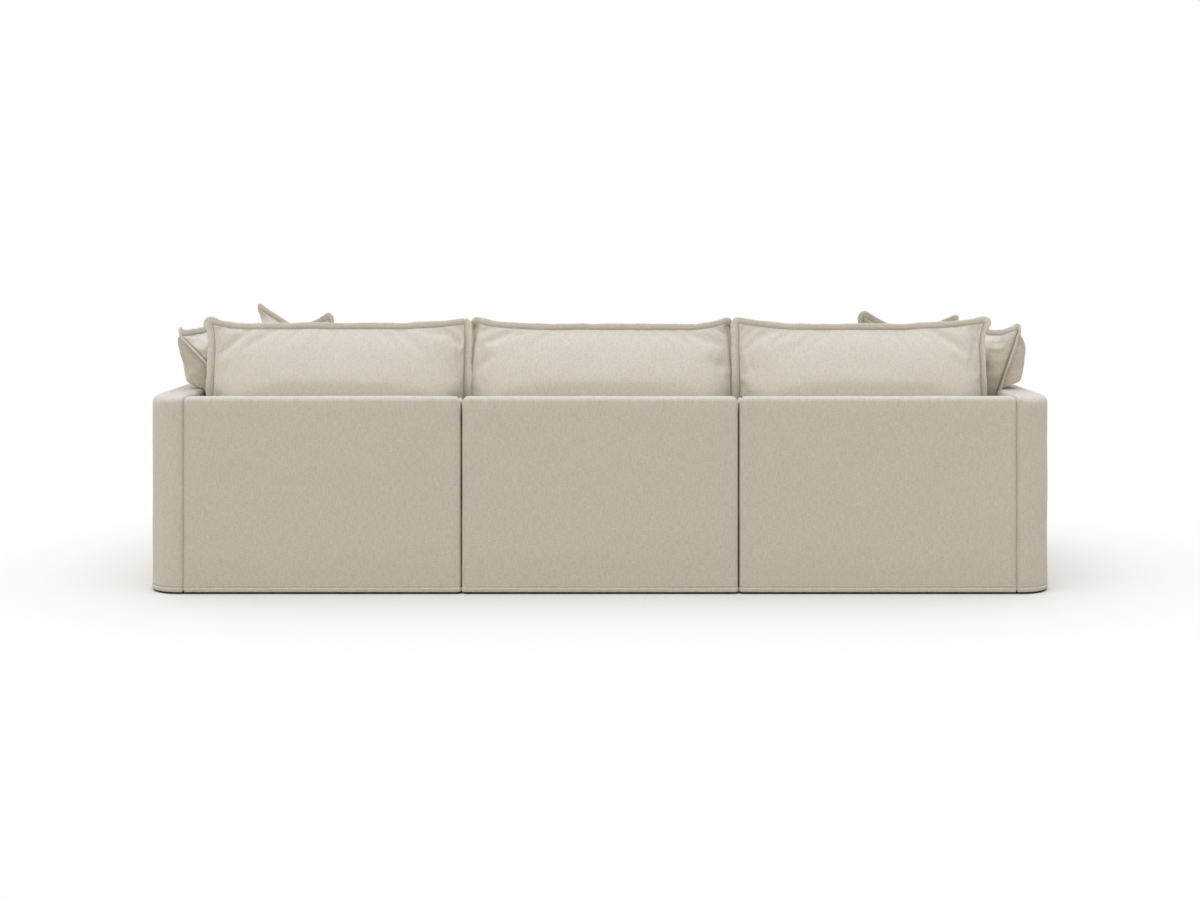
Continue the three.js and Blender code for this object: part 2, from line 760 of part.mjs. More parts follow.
// Points along the edges of a mesh, in the sofa's frame
function edgePoints(mesh) {
  const { position } = mesh.geometry.attributes;
  const corners = Array.from(mesh.geometry.index.array, (index) => {
    return mesh.localToWorld(new THREE.Vector3().fromBufferAttribute(position, index));
  });
  return corners.flatMap((corner, index) => {
    const next = corners[index % 3 === 2 ? index - 2 : index + 1];
    return edgeShares.map((share) => corner.clone().lerp(next, share));
  });
}

// Stands a cushion on the seat cushion under it, just clear of it, by rays from its lowest points
function standOn(group, cover, seat) {
  group.updateMatrixWorld(true);
  const points = edgePoints(cover);
  const lowest = points.reduce((low, point) => Math.min(low, point.z), Infinity);
  const ray = new THREE.Raycaster();
  const down = new THREE.Vector3(0, 0, -1);
  const rises = points.filter((point) => point.z < lowest + 2 * seatCrown).map((point) => {
    ray.set(new THREE.Vector3(point.x, point.y, frameHeight + seatTop), down);
    const [hit] = ray.intersectObject(seat);
    return hit ? hit.point.z - point.z : -Infinity;
  });
  group.position.z += Math.max(...rises) + restGap;
}

function addCushion(name, form, place, seat) {
  const group = new THREE.Group();
  group.rotation.set(-place.tilt, 0, place.turn, 'ZXY');
  group.position.set(place.x, place.y, seatTop + form.halfHeight);
  sofa.add(group);
  const cover = add(form.filled ? `${name}_cover` : name, cushionCover(form), linen, group);
  if (form.filled) add(`${name}_insert`, geometryOf(cushionCore(form)), foam, group);
  standOn(group, cover, seat);
}

// Back cushions differ a little in width and place, as shares of the seat's width
const backTrimShares = { centre: 0.0234, right: 0.0298, chaise: 0.0021 };
const backShiftShares = { centre: -0.0074, right: 0.016, chaise: -0.016 };

function addBackCushion(plan, seat) {
  const middle = seatWidth * (plan.side + backShiftShares[plan.name]);
  const halfHeight = backCushionHeight / 2;
  const form = {
    halfWidth: halfSeat * (1 - backTrimShares[plan.name]),
    halfHeight,
    frontBulge: backCushionFrontBulge,
    rearBulge: backCushionRearBulge,
    dip: { top: backCushionTopDip, side: backCushionSideDip },
    bend: backCushionBend,
    supportTop: frameHeight - seatTop - halfHeight,
    pressShare: backPressShare,
    slant: 0,
    slantSide: 1,
    zip: zipLength,
    filled: true,
  };
  const place = { x: middle, y: backInner - backCushionPlane, turn: 0, tilt: 0 };
  addCushion(`${plan.name}_back`, form, place, seat);
}

function addSideCushion(plan, seat) {
  const halfHeight = sideCushionHeight / 2;
  const form = {
    halfWidth: sideCushionLength / 2,
    halfHeight,
    frontBulge: sideCushionFrontBulge,
    rearBulge: sideCushionRearBulge,
    dip: { top: sideCushionTopDip, side: sideCushionSideDip },
    bend: sideCushionBend,
    supportTop: frameHeight - seatTop - halfHeight,
    pressShare: sidePressShare,
    slant: sideCushionSlant,
    slantSide: -plan.side,
    zip: sideZipLength,
    filled: true,
  };
  const place = {
    x: plan.armInner - plan.side * sideCushionPlane,
    y: backInner - sideCushionSetback - form.halfWidth,
    turn: -plan.side * (Math.PI / 2),
    tilt: 0,
  };
  addCushion(`${plan.name}_side`, form, place, seat);
}

// Each throw pillow leans in its corner, turned towards the middle of the sofa. Its distances from
// the fronts of the side and back cushions are shares of its own size
const pillowPlaces = {
  right: { sideShare: 0.34, backShare: 0.4837, turnDegrees: 38, tiltDegrees: 20 },
  chaise: { sideShare: 0.3461, backShare: 0.5344, turnDegrees: -52, tiltDegrees: 14 },
};

function addPillow(plan, seat) {
  const form = {
    halfWidth: pillowSize / 2,
    halfHeight: pillowSize / 2,
    frontBulge: pillowBulge,
    rearBulge: pillowBulge,
    dip: { top: pillowTopDip, side: pillowSideDip },
    bend: 0,
    supportTop: 0,
    pressShare: 1,
    slant: 0,
    slantSide: 1,
    filled: false,
  };
  const { sideShare, backShare, turnDegrees, tiltDegrees } = pillowPlaces[plan.name];
  const fromArm = sideCushionPlane + sideCushionFrontBulge + pillowSize * sideShare;
  const fromBack = backCushionPlane + backCushionFrontBulge + pillowSize * backShare;
  const place = {
    x: plan.armInner - plan.side * fromArm,
    y: backInner - fromBack,
    turn: THREE.MathUtils.degToRad(turnDegrees),
    tilt: THREE.MathUtils.degToRad(tiltDegrees),
  };
  addCushion(`${plan.name}_pillow`, form, place, seat);
}

function addModule(plan) {
  const { name } = plan;
  add(`${name}_base_frame`, baseFrame(plan), timber);
  add(`${name}_back_frame`, backFrame(plan), timber);
  add(`${name}_back_foam`, backFoam(plan), foam);
  add(`${name}_webbing`, webbingGrid(plan), webbing);
  add(`${name}_deck_pad`, deckPad(plan), foam);
  add(`${name}_dust_cover`, dustCover(plan), lining);
  add(`${name}_slipcover`, slipcover(plan), linen);
  footPlaces(plan).forEach(([x, y], index) => {
    add(`${name}_foot_${index + 1}`, foot(), plastic).position.set(x, y, 0);
  });
  const seat = addSeatCushion(plan);
  addBackCushion(plan, seat);
  if (plan.side === 0) return;
  add(`${name}_arm_frame`, armFrame(plan), timber);
  add(`${name}_arm_foam`, armFoam(plan), foam);
  add(`${name}_hook`, hook(plan.side), steel);
  add(`${name}_socket`, socket(plan.side), steel);
  addSideCushion(plan, seat);
  addPillow(plan, seat);
}

addModule(planOf('centre', 0));
addModule(planOf('right', -1));
addModule(planOf('chaise', 1));

export default sofa;
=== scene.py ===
"""Looks of a sectional sofa with a chaise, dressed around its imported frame.

Lengths are in metres, +Z is up, and the sofa's front faces -Y. Covers and cushions are built in
mesh code from the places of the frame's nodes, each cushion is filled by a short cloth simulation,
and all the finishes are procedural.
"""

import json
import logging
import math
from dataclasses import dataclass, field
from enum import Enum
from typing import Callable, Sequence

import bmesh
import bpy
import numpy as np
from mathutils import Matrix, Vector, noise
from mathutils.geometry import delaunay_2d_cdt

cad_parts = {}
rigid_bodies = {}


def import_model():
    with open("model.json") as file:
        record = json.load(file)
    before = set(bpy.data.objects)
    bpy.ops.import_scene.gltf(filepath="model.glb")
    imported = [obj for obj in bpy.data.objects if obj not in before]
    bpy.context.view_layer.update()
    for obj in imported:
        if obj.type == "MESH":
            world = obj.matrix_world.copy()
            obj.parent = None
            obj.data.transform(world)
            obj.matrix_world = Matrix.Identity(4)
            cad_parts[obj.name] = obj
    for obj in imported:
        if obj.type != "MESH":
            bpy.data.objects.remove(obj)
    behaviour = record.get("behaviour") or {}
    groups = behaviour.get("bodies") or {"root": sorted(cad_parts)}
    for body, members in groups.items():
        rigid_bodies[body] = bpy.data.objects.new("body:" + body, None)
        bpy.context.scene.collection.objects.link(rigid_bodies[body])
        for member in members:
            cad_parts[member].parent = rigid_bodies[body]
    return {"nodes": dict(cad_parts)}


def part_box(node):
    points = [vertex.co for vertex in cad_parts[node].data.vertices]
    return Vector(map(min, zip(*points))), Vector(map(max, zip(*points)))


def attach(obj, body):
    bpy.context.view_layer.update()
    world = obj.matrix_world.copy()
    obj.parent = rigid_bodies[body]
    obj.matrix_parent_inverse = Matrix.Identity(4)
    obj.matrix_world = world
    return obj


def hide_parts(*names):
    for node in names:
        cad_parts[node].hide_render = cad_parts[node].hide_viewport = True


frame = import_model()
LOG = logging.getLogger("sofa")
Socket = bpy.types.NodeSocket
WEAVE_MAP = "weave"
# Point mask of painted shade: darkens the linen along seam grooves, the hem crease and the flange roots.
PAINTED_SEAM_SHADE_MASK = "seam"
# Point mask that lightens the flange edges: painted highlight from the light above, with some wear.
WEAR_HIGHLIGHT_MASK = "worn"
SEAM_STEPS = (-7.0, -5.0, -3.2, -2.0, -1.2, -0.6, 0.0, 0.6, 1.2, 2.0, 3.2, 5.0, 7.0)
SEAM_REACH = 8.5
SOFT_WAVES = ((0.11, 0.0016, 0), (0.035, 0.0005, 2))
STITCHED_AT = 0.25
FLANGE_STATIONS = ((0.1, 0.6), (STITCHED_AT, 0.85), (0.5, 1.0), (0.75, 1.0), (0.92, 0.75), (1.0, 0.0))
ZIP_LENGTH = 0.42
SIDE_ZIP_LENGTH = 0.33


class Module(Enum):
    """The three modules, each with the side it stands on: -1, 0 or 1 along X."""

    RIGHT = -1
    CENTRE = 0
    CHAISE = 1

    @property
    def label(self) -> str:
        """The first word of the names of the module's nodes."""
        return self.name.lower()


class Wiring:
    """Adds nodes to one node tree and joins them."""

    def __init__(self, tree: bpy.types.NodeTree) -> None:
        """Starts on an empty tree."""
        self.tree = tree

    def node(self, kind: str, inputs: dict | None = None, **settings) -> bpy.types.Node:
        """Adds a node.

        Args:
            kind: the node's type name.
            inputs: values or sockets for its inputs, by name or number.
            settings: the node's own properties.

        Returns:
            The new node.
        """
        made = self.tree.nodes.new(kind)
        for key, value in settings.items():
            setattr(made, key, value)
        for key, value in (inputs or {}).items():
            self.feed(made.inputs[key], value)
        return made

    def feed(self, socket: Socket, value) -> None:
        """Joins a socket to another one, or gives it a plain value."""
        if isinstance(value, bpy.types.NodeSocket):
            self.tree.links.new(value, socket)
        else:
            socket.default_value = value

    def group(self, tree: bpy.types.NodeTree, inputs: dict) -> bpy.types.Node:
        """Places a shared node group."""
        return self.node("ShaderNodeGroup", inputs, node_tree=tree)

    def math(self, operation: str, *values) -> Socket:
        """Adds a Math node and returns its result."""
        return self.node("ShaderNodeMath", dict(enumerate(values)), operation=operation).outputs[0]

    def clamp(self, value: Socket) -> Socket:
        """Keeps a value between 0 and 1."""
        return self.math("MINIMUM", self.math("MAXIMUM", value, 0.0), 1.0)

    def noise(self, place: Socket, scale: float, detail: float = 2.0) -> Socket:
        """Adds a Noise Texture and returns its value, about 0.5 on average."""
        inputs = {"Vector": place, "Scale": scale, "Detail": detail}
        return self.node("ShaderNodeTexNoise", inputs).outputs[0]

    def stretch(self, place: Socket, scale: Sequence[float], shift: Sequence[float]) -> Socket:
        """Scales and shifts a place, so that a pattern on it runs long in one direction."""
        inputs = {"Vector": place, "Scale": scale, "Location": shift}
        return self.node("ShaderNodeMapping", inputs).outputs[0]

    def mix(self, share, low, high) -> Socket:
        """Mixes two colours and returns the result."""
        return self.node("ShaderNodeMix", {0: share, 6: low, 7: high}, data_type="RGBA").outputs[2]


class NodeGroups:
    """The effects that several finishes share, each a node group that is built once."""

    @staticmethod
    def start(name: str, inputs: dict[str, str], outputs: Sequence[str]) -> tuple:
        """Makes an empty group.

        Args:
            name: the group's name.
            inputs: socket types by input name.
            outputs: names of the float outputs.

        Returns:
            The wiring of the group, its input node and its output node.
        """
        tree = bpy.data.node_groups.new(name, "ShaderNodeTree")
        for label, kind in inputs.items():
            tree.interface.new_socket(name=label, in_out="INPUT", socket_type=kind)
        for label in outputs:
            tree.interface.new_socket(name=label, in_out="OUTPUT", socket_type="NodeSocketFloat")
        wiring = Wiring(tree)
        return wiring, wiring.node("NodeGroupInput"), wiring.node("NodeGroupOutput")

    @classmethod
    def weave(cls) -> bpy.types.NodeTree:
        """A plain weave: the height of the threads, and the tone of uneven yarns along both."""
        found = bpy.data.node_groups.get("plain_weave")
        if found:
            return found
        kinds = {"Place": "NodeSocketVector", "Pitch": "NodeSocketFloat"}
        wiring, start, end = cls.start("plain_weave", kinds, ["Height", "Tone", "Dye", "Cast"])
        place = start.outputs["Place"]
        parts = wiring.node("ShaderNodeSeparateXYZ", {0: place})
        across = wiring.math("DIVIDE", parts.outputs[0], start.outputs["Pitch"])
        along = wiring.math("DIVIDE", parts.outputs[1], start.outputs["Pitch"])
        threads = []
        for own, other, sign in ((across, along, 0.5), (along, across, -0.5)):
            ridge = wiring.math("ABSOLUTE", wiring.math("SINE", wiring.math("MULTIPLY", own, math.pi)))
            phase = wiring.math("ADD", wiring.math("FLOOR", own), wiring.math("SUBTRACT", other, 0.5))
            wave = wiring.math("COSINE", wiring.math("MULTIPLY", phase, math.pi))
            over = wiring.math("MULTIPLY_ADD", wave, sign, 0.5)
            threads.append(wiring.math("MULTIPLY", ridge, over))
        crossing = wiring.math("MAXIMUM", threads[0], threads[1])
        warp = wiring.noise(wiring.stretch(place, (420, 60, 1), (0, 0, 0)), 1.0, 2.0)
        weft = wiring.noise(wiring.stretch(place, (60, 420, 1), (9, 3, 5)), 1.0, 2.0)
        slub = wiring.noise(wiring.stretch(place, (230, 24, 1), (4, 8, 2)), 1.0, 1.0)
        grain = wiring.noise(wiring.stretch(place, (300, 260, 1), (2, 7, 6)), 1.0, 1.0)
        yarns = wiring.math("ADD", wiring.math("ADD", warp, weft), grain)
        tone = wiring.math("MULTIPLY_ADD", yarns, 0.28, wiring.math("MULTIPLY", slub, 0.16))
        dye = wiring.noise(wiring.stretch(place, (110, 90, 1), (5, 1, 4)), 1.0, 2.0)
        stain = wiring.noise(wiring.stretch(place, (75, 60, 1), (1, 6, 2)), 1.0, 2.0)
        wiring.feed(end.inputs["Height"], wiring.math("MULTIPLY_ADD", tone, 0.6, crossing))
        wiring.feed(end.inputs["Tone"], tone)
        wiring.feed(end.inputs["Dye"], dye)
        wiring.feed(end.inputs["Cast"], stain)
        return wiring.tree

    @classmethod
    def mottle(cls) -> bpy.types.NodeTree:
        """Soft uneven patches, as cloth, wood and metal have from dye, light and hands."""
        found = bpy.data.node_groups.get("mottle")
        if found:
            return found
        kinds = {"Place": "NodeSocketVector", "Scale": "NodeSocketFloat"}
        wiring, start, end = cls.start("mottle", kinds, ["Patches", "Specks"])
        place = wiring.node("ShaderNodeVectorMath", {0: start.outputs["Place"]}, operation="SCALE")
        wiring.feed(place.inputs["Scale"], start.outputs["Scale"])
        wiring.feed(end.inputs["Patches"], wiring.noise(place.outputs[0], 1.0, 3.0))
        wiring.feed(end.inputs["Specks"], wiring.noise(place.outputs[0], 24.0, 2.0))
        return wiring.tree


@dataclass(frozen=True)
class Finish:
    """A finish of the sofa, made as a material when it is first used."""

    name: str
    slot: str
    light: tuple[float, float, float]
    dark: tuple[float, float, float]
    roughness: float

    def material(self) -> bpy.types.Material:
        """Returns the finish's material, built on its first call."""
        found = bpy.data.materials.get(self.name)
        if found:
            return found
        made = bpy.data.materials.new(self.name)
        made.use_nodes = True
        made.diffuse_color = (*self.light, 1.0)
        made.node_tree.nodes.clear()
        wiring = Wiring(made.node_tree)
        shader = wiring.node("ShaderNodeBsdfPrincipled")
        out = wiring.node("ShaderNodeOutputMaterial", {"Surface": shader.outputs[0]})
        out.is_active_output = True
        self.wire(wiring, shader)
        return made

    def wire(self, wiring: Wiring, shader: bpy.types.Node) -> None:
        """Joins the finish's own nodes to the shader."""
        raise NotImplementedError

    def bump(self, wiring: Wiring, shader: bpy.types.Node, height: Socket, depth: float) -> None:
        """Gives the shader a bump of the given depth in metres."""
        made = wiring.node("ShaderNodeBump", {"Height": height, "Distance": depth, "Strength": 1.0})
        wiring.feed(shader.inputs["Normal"], made.outputs[0])

    def surface(
        self, wiring: Wiring, shader: bpy.types.Node, share: Socket, grain: Socket, rough: tuple, depth: float
    ) -> None:
        """Colours the shader from dark to light and gives it a grain.

        Args:
            wiring: the material's wiring.
            shader: the material's shader.
            share: 0 where the colour is dark and 1 where it is light.
            grain: the height of the grain, which also changes the roughness.
            rough: how much the grain changes the roughness, and what is added to it everywhere.
            depth: the depth of the grain in metres.
        """
        colour = wiring.mix(share, (*self.dark, 1.0), (*self.light, 1.0))
        wiring.feed(shader.inputs["Base Color"], colour)
        swing, shift = rough
        uneven = wiring.math("MULTIPLY_ADD", grain, swing, self.roughness + shift)
        wiring.feed(shader.inputs["Roughness"], uneven)
        self.bump(wiring, shader, grain, depth)

    def dress(self, piece: bpy.types.Object) -> None:
        """Gives a piece this finish alone."""
        piece.data.materials.clear()
        piece.data.materials.append(self.material())

    def fit(self, piece: bpy.types.Object, body: str, *nodes: str) -> None:
        """Dresses a piece, ties it to its body and lets it stand for the frame's nodes."""
        self.dress(piece)
        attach(piece, body)
        if nodes:
            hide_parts(*nodes)
        LOG.info("%s: %d points", piece.name, len(piece.data.vertices))


@dataclass(frozen=True)
class Cloth(Finish):
    """A woven cloth with painted shade in its seams, and flange edges lightened by painted highlight and
    wear.
    """

    pitch: float = 0.0013
    depth: float = 0.0005
    sheen: float = 0.26
    tone_swing: float = 5.2
    blue_cast: float = 1.22
    red_cast: float = 1.05
    dye_swing: float = 5.0
    cast_swing: float = 4.0
    tint_share: float = 0.16
    # Strength of the painted shade along seam grooves, the hem crease and flange roots.
    seam_shade: float = 0.95
    # Lift of the flange edges: painted highlight with some wear.
    worn_light: float = 0.25
    patch_swing: float = 0.12

    def wire(self, wiring: Wiring, shader: bpy.types.Node) -> None:
        """Joins the weave, the patches and the masks of the mesh to the shader."""
        place = wiring.node("ShaderNodeUVMap", uv_map=WEAVE_MAP).outputs[0]
        weave = wiring.group(NodeGroups.weave(), {"Place": place, "Pitch": self.pitch})
        solid = wiring.node("ShaderNodeTexCoord").outputs["Object"]
        mottle = wiring.group(NodeGroups.mottle(), {"Place": solid, "Scale": 4.0})
        seam = wiring.node("ShaderNodeAttribute", attribute_name=PAINTED_SEAM_SHADE_MASK).outputs["Fac"]
        worn = wiring.node("ShaderNodeAttribute", attribute_name=WEAR_HIGHLIGHT_MASK).outputs["Fac"]
        tone = wiring.math("SUBTRACT", weave.outputs["Tone"], 0.5)
        share = wiring.math("MULTIPLY_ADD", tone, self.tone_swing, 0.5)
        patch = wiring.math("SUBTRACT", mottle.outputs["Patches"], 0.5)
        share = wiring.math("MULTIPLY_ADD", patch, self.patch_swing, share)
        # Lighter flange edges: painted highlight with some wear.
        share = wiring.math("MULTIPLY_ADD", worn, self.worn_light, share)
        # Darker seams, hem crease and flange roots: painted shade.
        share = wiring.math("SUBTRACT", share, wiring.math("MULTIPLY", seam, self.seam_shade))
        colour = wiring.mix(wiring.clamp(share), (*self.dark, 1.0), (*self.light, 1.0))
        red, green, blue = self.light
        for output, low, high, swing in (
            ("Dye", (red, green, blue * self.blue_cast), (red, green, blue / self.blue_cast), self.dye_swing),
            ("Cast", (red, green / self.red_cast, blue), (red / self.red_cast, green, blue), self.cast_swing),
        ):
            uneven = wiring.math("SUBTRACT", weave.outputs[output], 0.5)
            share = wiring.clamp(wiring.math("MULTIPLY_ADD", uneven, swing, 0.5))
            tint = wiring.mix(share, (*low, 1.0), (*high, 1.0))
            colour = wiring.mix(self.tint_share, colour, tint)
        wiring.feed(shader.inputs["Base Color"], colour)
        rough = wiring.math("MULTIPLY_ADD", weave.outputs["Height"], -0.08, self.roughness)
        wiring.feed(shader.inputs["Roughness"], rough)
        shader.inputs["Sheen Weight"].default_value = self.sheen
        shader.inputs["Specular IOR Level"].default_value = 0.25
        self.bump(wiring, shader, weave.outputs["Height"], self.depth)


@dataclass(frozen=True)
class Wood(Finish):
    """Sawn softwood with long grain and a few darker rings."""

    def wire(self, wiring: Wiring, shader: bpy.types.Node) -> None:
        """Joins the grain to the shader."""
        solid = wiring.node("ShaderNodeTexCoord").outputs["Object"]
        fibres = wiring.noise(wiring.stretch(solid, (6, 90, 90), (0, 0, 0)), 1.0, 4.0)
        warped = wiring.stretch(solid, (1.5, 14, 14), (3, 1, 2))
        rings = wiring.node("ShaderNodeTexWave", {"Vector": warped, "Scale": 1.0, "Distortion": 4.0})
        share = wiring.math("MULTIPLY_ADD", rings.outputs[1], 0.5, wiring.math("MULTIPLY", fibres, 0.5))
        mottle = wiring.group(NodeGroups.mottle(), {"Place": solid, "Scale": 2.0})
        share = wiring.math("MULTIPLY", share, wiring.math("ADD", mottle.outputs["Patches"], 0.5))
        self.surface(wiring, shader, share, fibres, (0.2, -0.1), 0.0006)


@dataclass(frozen=True)
class Foam(Finish):
    """Open-cell foam: fine pores over soft yellowed patches."""

    def wire(self, wiring: Wiring, shader: bpy.types.Node) -> None:
        """Joins the pores to the shader."""
        solid = wiring.node("ShaderNodeTexCoord").outputs["Object"]
        mottle = wiring.group(NodeGroups.mottle(), {"Place": solid, "Scale": 3.0})
        cells = wiring.node("ShaderNodeTexVoronoi", {"Vector": solid, "Scale": 700.0}).outputs[0]
        share = wiring.math("MULTIPLY_ADD", cells, 0.4, wiring.math("MULTIPLY", mottle.outputs[0], 0.6))
        self.surface(wiring, shader, share, cells, (-0.1, 0.0), 0.0008)


@dataclass(frozen=True)
class Moulded(Finish):
    """Moulded plastic or plated metal with fine scuffs."""

    metallic: float = 0.0
    stretch: tuple[float, float, float] = (60, 60, 60)

    def wire(self, wiring: Wiring, shader: bpy.types.Node) -> None:
        """Joins the scuffs to the shader."""
        solid = wiring.node("ShaderNodeTexCoord").outputs["Object"]
        brushed = wiring.noise(wiring.stretch(solid, self.stretch, (0, 0, 0)), 1.0, 4.0)
        mottle = wiring.group(NodeGroups.mottle(), {"Place": solid, "Scale": 20.0})
        share = wiring.math("MULTIPLY_ADD", brushed, 0.6, wiring.math("MULTIPLY", mottle.outputs[1], 0.4))
        self.surface(wiring, shader, share, brushed, (0.25, -0.12), 0.0001)
        shader.inputs["Metallic"].default_value = self.metallic


LINEN = Cloth("linen_weave", "linen", (0.80, 0.733, 0.627), (0.595, 0.536, 0.441), 0.92)
THREAD = Cloth("linen_thread", "linen", (0.66, 0.59, 0.49), (0.5, 0.44, 0.35), 0.8, pitch=0.0006)
TIMBER = Wood("pine_timber", "timber", (0.62, 0.42, 0.22), (0.40, 0.23, 0.10), 0.7)
FOAM = Foam("cream_foam", "foam", (0.86, 0.78, 0.56), (0.70, 0.60, 0.38), 0.95)
STRAP = Cloth("strap_webbing", "webbing", (0.07, 0.06, 0.05), (0.02, 0.018, 0.016), 0.85, pitch=0.003)
TICKING = Cloth("insert_ticking", "foam", (0.84, 0.83, 0.80), (0.72, 0.70, 0.66), 0.9, pitch=0.0007)
# A near-black strip inside the hem, which paints the shadow in the gap between the hem and the floor.
HEM_SHADOW_STRIP = Cloth("hem_tape", "lining", (0.010, 0.010, 0.010), (0.004, 0.004, 0.004), 0.95, pitch=0.002)
LINING = Cloth("dust_lining", "lining", (0.03, 0.03, 0.03), (0.012, 0.012, 0.012), 0.95, pitch=0.001)
GLIDE = Moulded("black_glide", "glide", (0.03, 0.03, 0.03), (0.012, 0.012, 0.012), 0.55)
ZIP_TEETH = Moulded("zip_teeth", "linen", (0.52, 0.46, 0.37), (0.42, 0.37, 0.29), 0.45)
ZINC = Moulded("zinc_bracket", "connector", (0.62, 0.62, 0.63), (0.4, 0.4, 0.42), 0.4, 1.0, (8, 400, 400))


BACK_PLANE_GAP = 0.095
SIDE_PLANE_GAP = 0.03


def ripple(points: np.ndarray, length: float, seed: float) -> np.ndarray:
    """Smooth unevenness over space.

    Args:
        points: places, one row each.
        length: how far apart its swells are.
        seed: shifts the pattern.

    Returns:
        One value for each point, from about -1 to 1.
    """
    moved = np.asarray(points, float) / length + seed
    return np.array([noise.noise(Vector(row)) for row in moved]) * 1.6


def unit(rows: np.ndarray) -> np.ndarray:
    """Makes each row one long."""
    return rows / np.maximum(np.linalg.norm(rows, axis=1, keepdims=True), 1e-9)


def places_of(mesh: bpy.types.Mesh) -> np.ndarray:
    """The places of a mesh's points, one row each."""
    found = np.empty(len(mesh.vertices) * 3)
    mesh.vertices.foreach_get("co", found)
    return found.reshape(-1, 3)


def running_lengths(path: np.ndarray) -> np.ndarray:
    """How far along a path each of its points lies."""
    return np.concatenate([[0.0], np.cumsum(np.linalg.norm(np.diff(path, axis=0), axis=1))])


def arc_lengths(points: np.ndarray) -> np.ndarray:
    """How far along a closed loop each point lies, with the whole length last."""
    return running_lengths(np.concatenate([points, points[:1]]))


def grid_rim(grid: np.ndarray) -> np.ndarray:
    """The numbers on the border of a grid, anticlockwise from its lower left."""
    return np.concatenate([grid[0, :-1], grid[:-1, -1], grid[-1, :0:-1], grid[:0:-1, 0]])


class Sheet:
    """Gathers points and faces of one cloth piece, with its weave map and masks."""

    def __init__(self) -> None:
        """Starts empty."""
        self.points: list[np.ndarray] = []
        self.faces: list[tuple[int, ...]] = []
        self.maps: list[tuple] = []
        self.count = 0

    def add_points(self, points: np.ndarray) -> int:
        """Adds rows of points and returns the number of the first."""
        start = self.count
        self.points.append(np.asarray(points, float))
        self.count += len(points)
        return start

    def add_face(self, face: Sequence[int], places: Sequence[Sequence[float]]) -> None:
        """Adds a face with the weave place of each of its corners."""
        self.faces.append(tuple(face))
        self.maps.extend(tuple(place) for place in places)

    def add_grid(self, numbers: np.ndarray, spots: np.ndarray, flip: bool) -> None:
        """Adds the quads of a grid.

        Args:
            numbers: the points' numbers, row by row.
            spots: the weave place of each point.
            flip: turns the faces over.
        """
        for row in range(numbers.shape[0] - 1):
            for column in range(numbers.shape[1] - 1):
                corners = [(row, column), (row, column + 1), (row + 1, column + 1), (row + 1, column)]
                corners = corners[::-1] if flip else corners
                self.add_face([numbers[at] for at in corners], [spots[at] for at in corners])

    def add_bands(self, rings: Sequence[np.ndarray], along: np.ndarray, heights: Sequence) -> None:
        """Adds closed bands of quads between rings of equally many points.

        Args:
            rings: the numbers of the points of each ring, from the lowest ring up.
            along: how far along the ring each point lies, with the whole length last.
            heights: how far up the cloth each ring lies.
        """
        numbers = np.array([[*ring, ring[0]] for ring in rings])
        self.add_grid(numbers, np.dstack(np.meshgrid(along, heights)), flip=False)

    def add_tube(self, rings: Sequence, across: Sequence, along: Sequence, flip: bool = False) -> None:
        """Adds a tube through rings of equally many points, with both its ends closed.

        Args:
            rings: the places of the points of each ring.
            across: the weave place of a ring's points, one way.
            along: the weave place of each ring, the other way.
            flip: turns the faces over.
        """
        closed = [*range(len(rings[0])), 0]
        numbers = np.add.outer([self.add_points(ring) for ring in rings], closed)
        self.add_grid(numbers, np.dstack(np.meshgrid(np.array(across)[closed], along)), flip)
        for ring, turned in ((numbers[0, :-1], not flip), (numbers[-1, :-1], flip)):
            self.add_face(ring[::-1] if turned else ring, [(0.0, 0.0)] * len(ring))

    def build(self, name: str, masks: dict[str, np.ndarray]) -> bpy.types.Object:
        """Makes the mesh object.

        Args:
            name: the piece's name.
            masks: one value for each point, by the mask's name.

        Returns:
            The object, smooth shaded and linked to the scene.
        """
        mesh = bpy.data.meshes.new(name)
        points = np.concatenate(self.points)
        mesh.from_pydata(points.tolist(), [], self.faces)
        layer = mesh.uv_layers.new(name=WEAVE_MAP)
        layer.data.foreach_set("uv", np.array(self.maps, np.float32).ravel())
        for label in (PAINTED_SEAM_SHADE_MASK, WEAR_HIGHLIGHT_MASK):
            values = np.asarray(masks.get(label, np.zeros(len(points))), np.float32)
            mesh.attributes.new(label, "FLOAT", "POINT").data.foreach_set("value", values)
        mesh.shade_smooth()
        mesh.update()
        made = bpy.data.objects.new(name, mesh)
        bpy.context.scene.collection.objects.link(made)
        return made


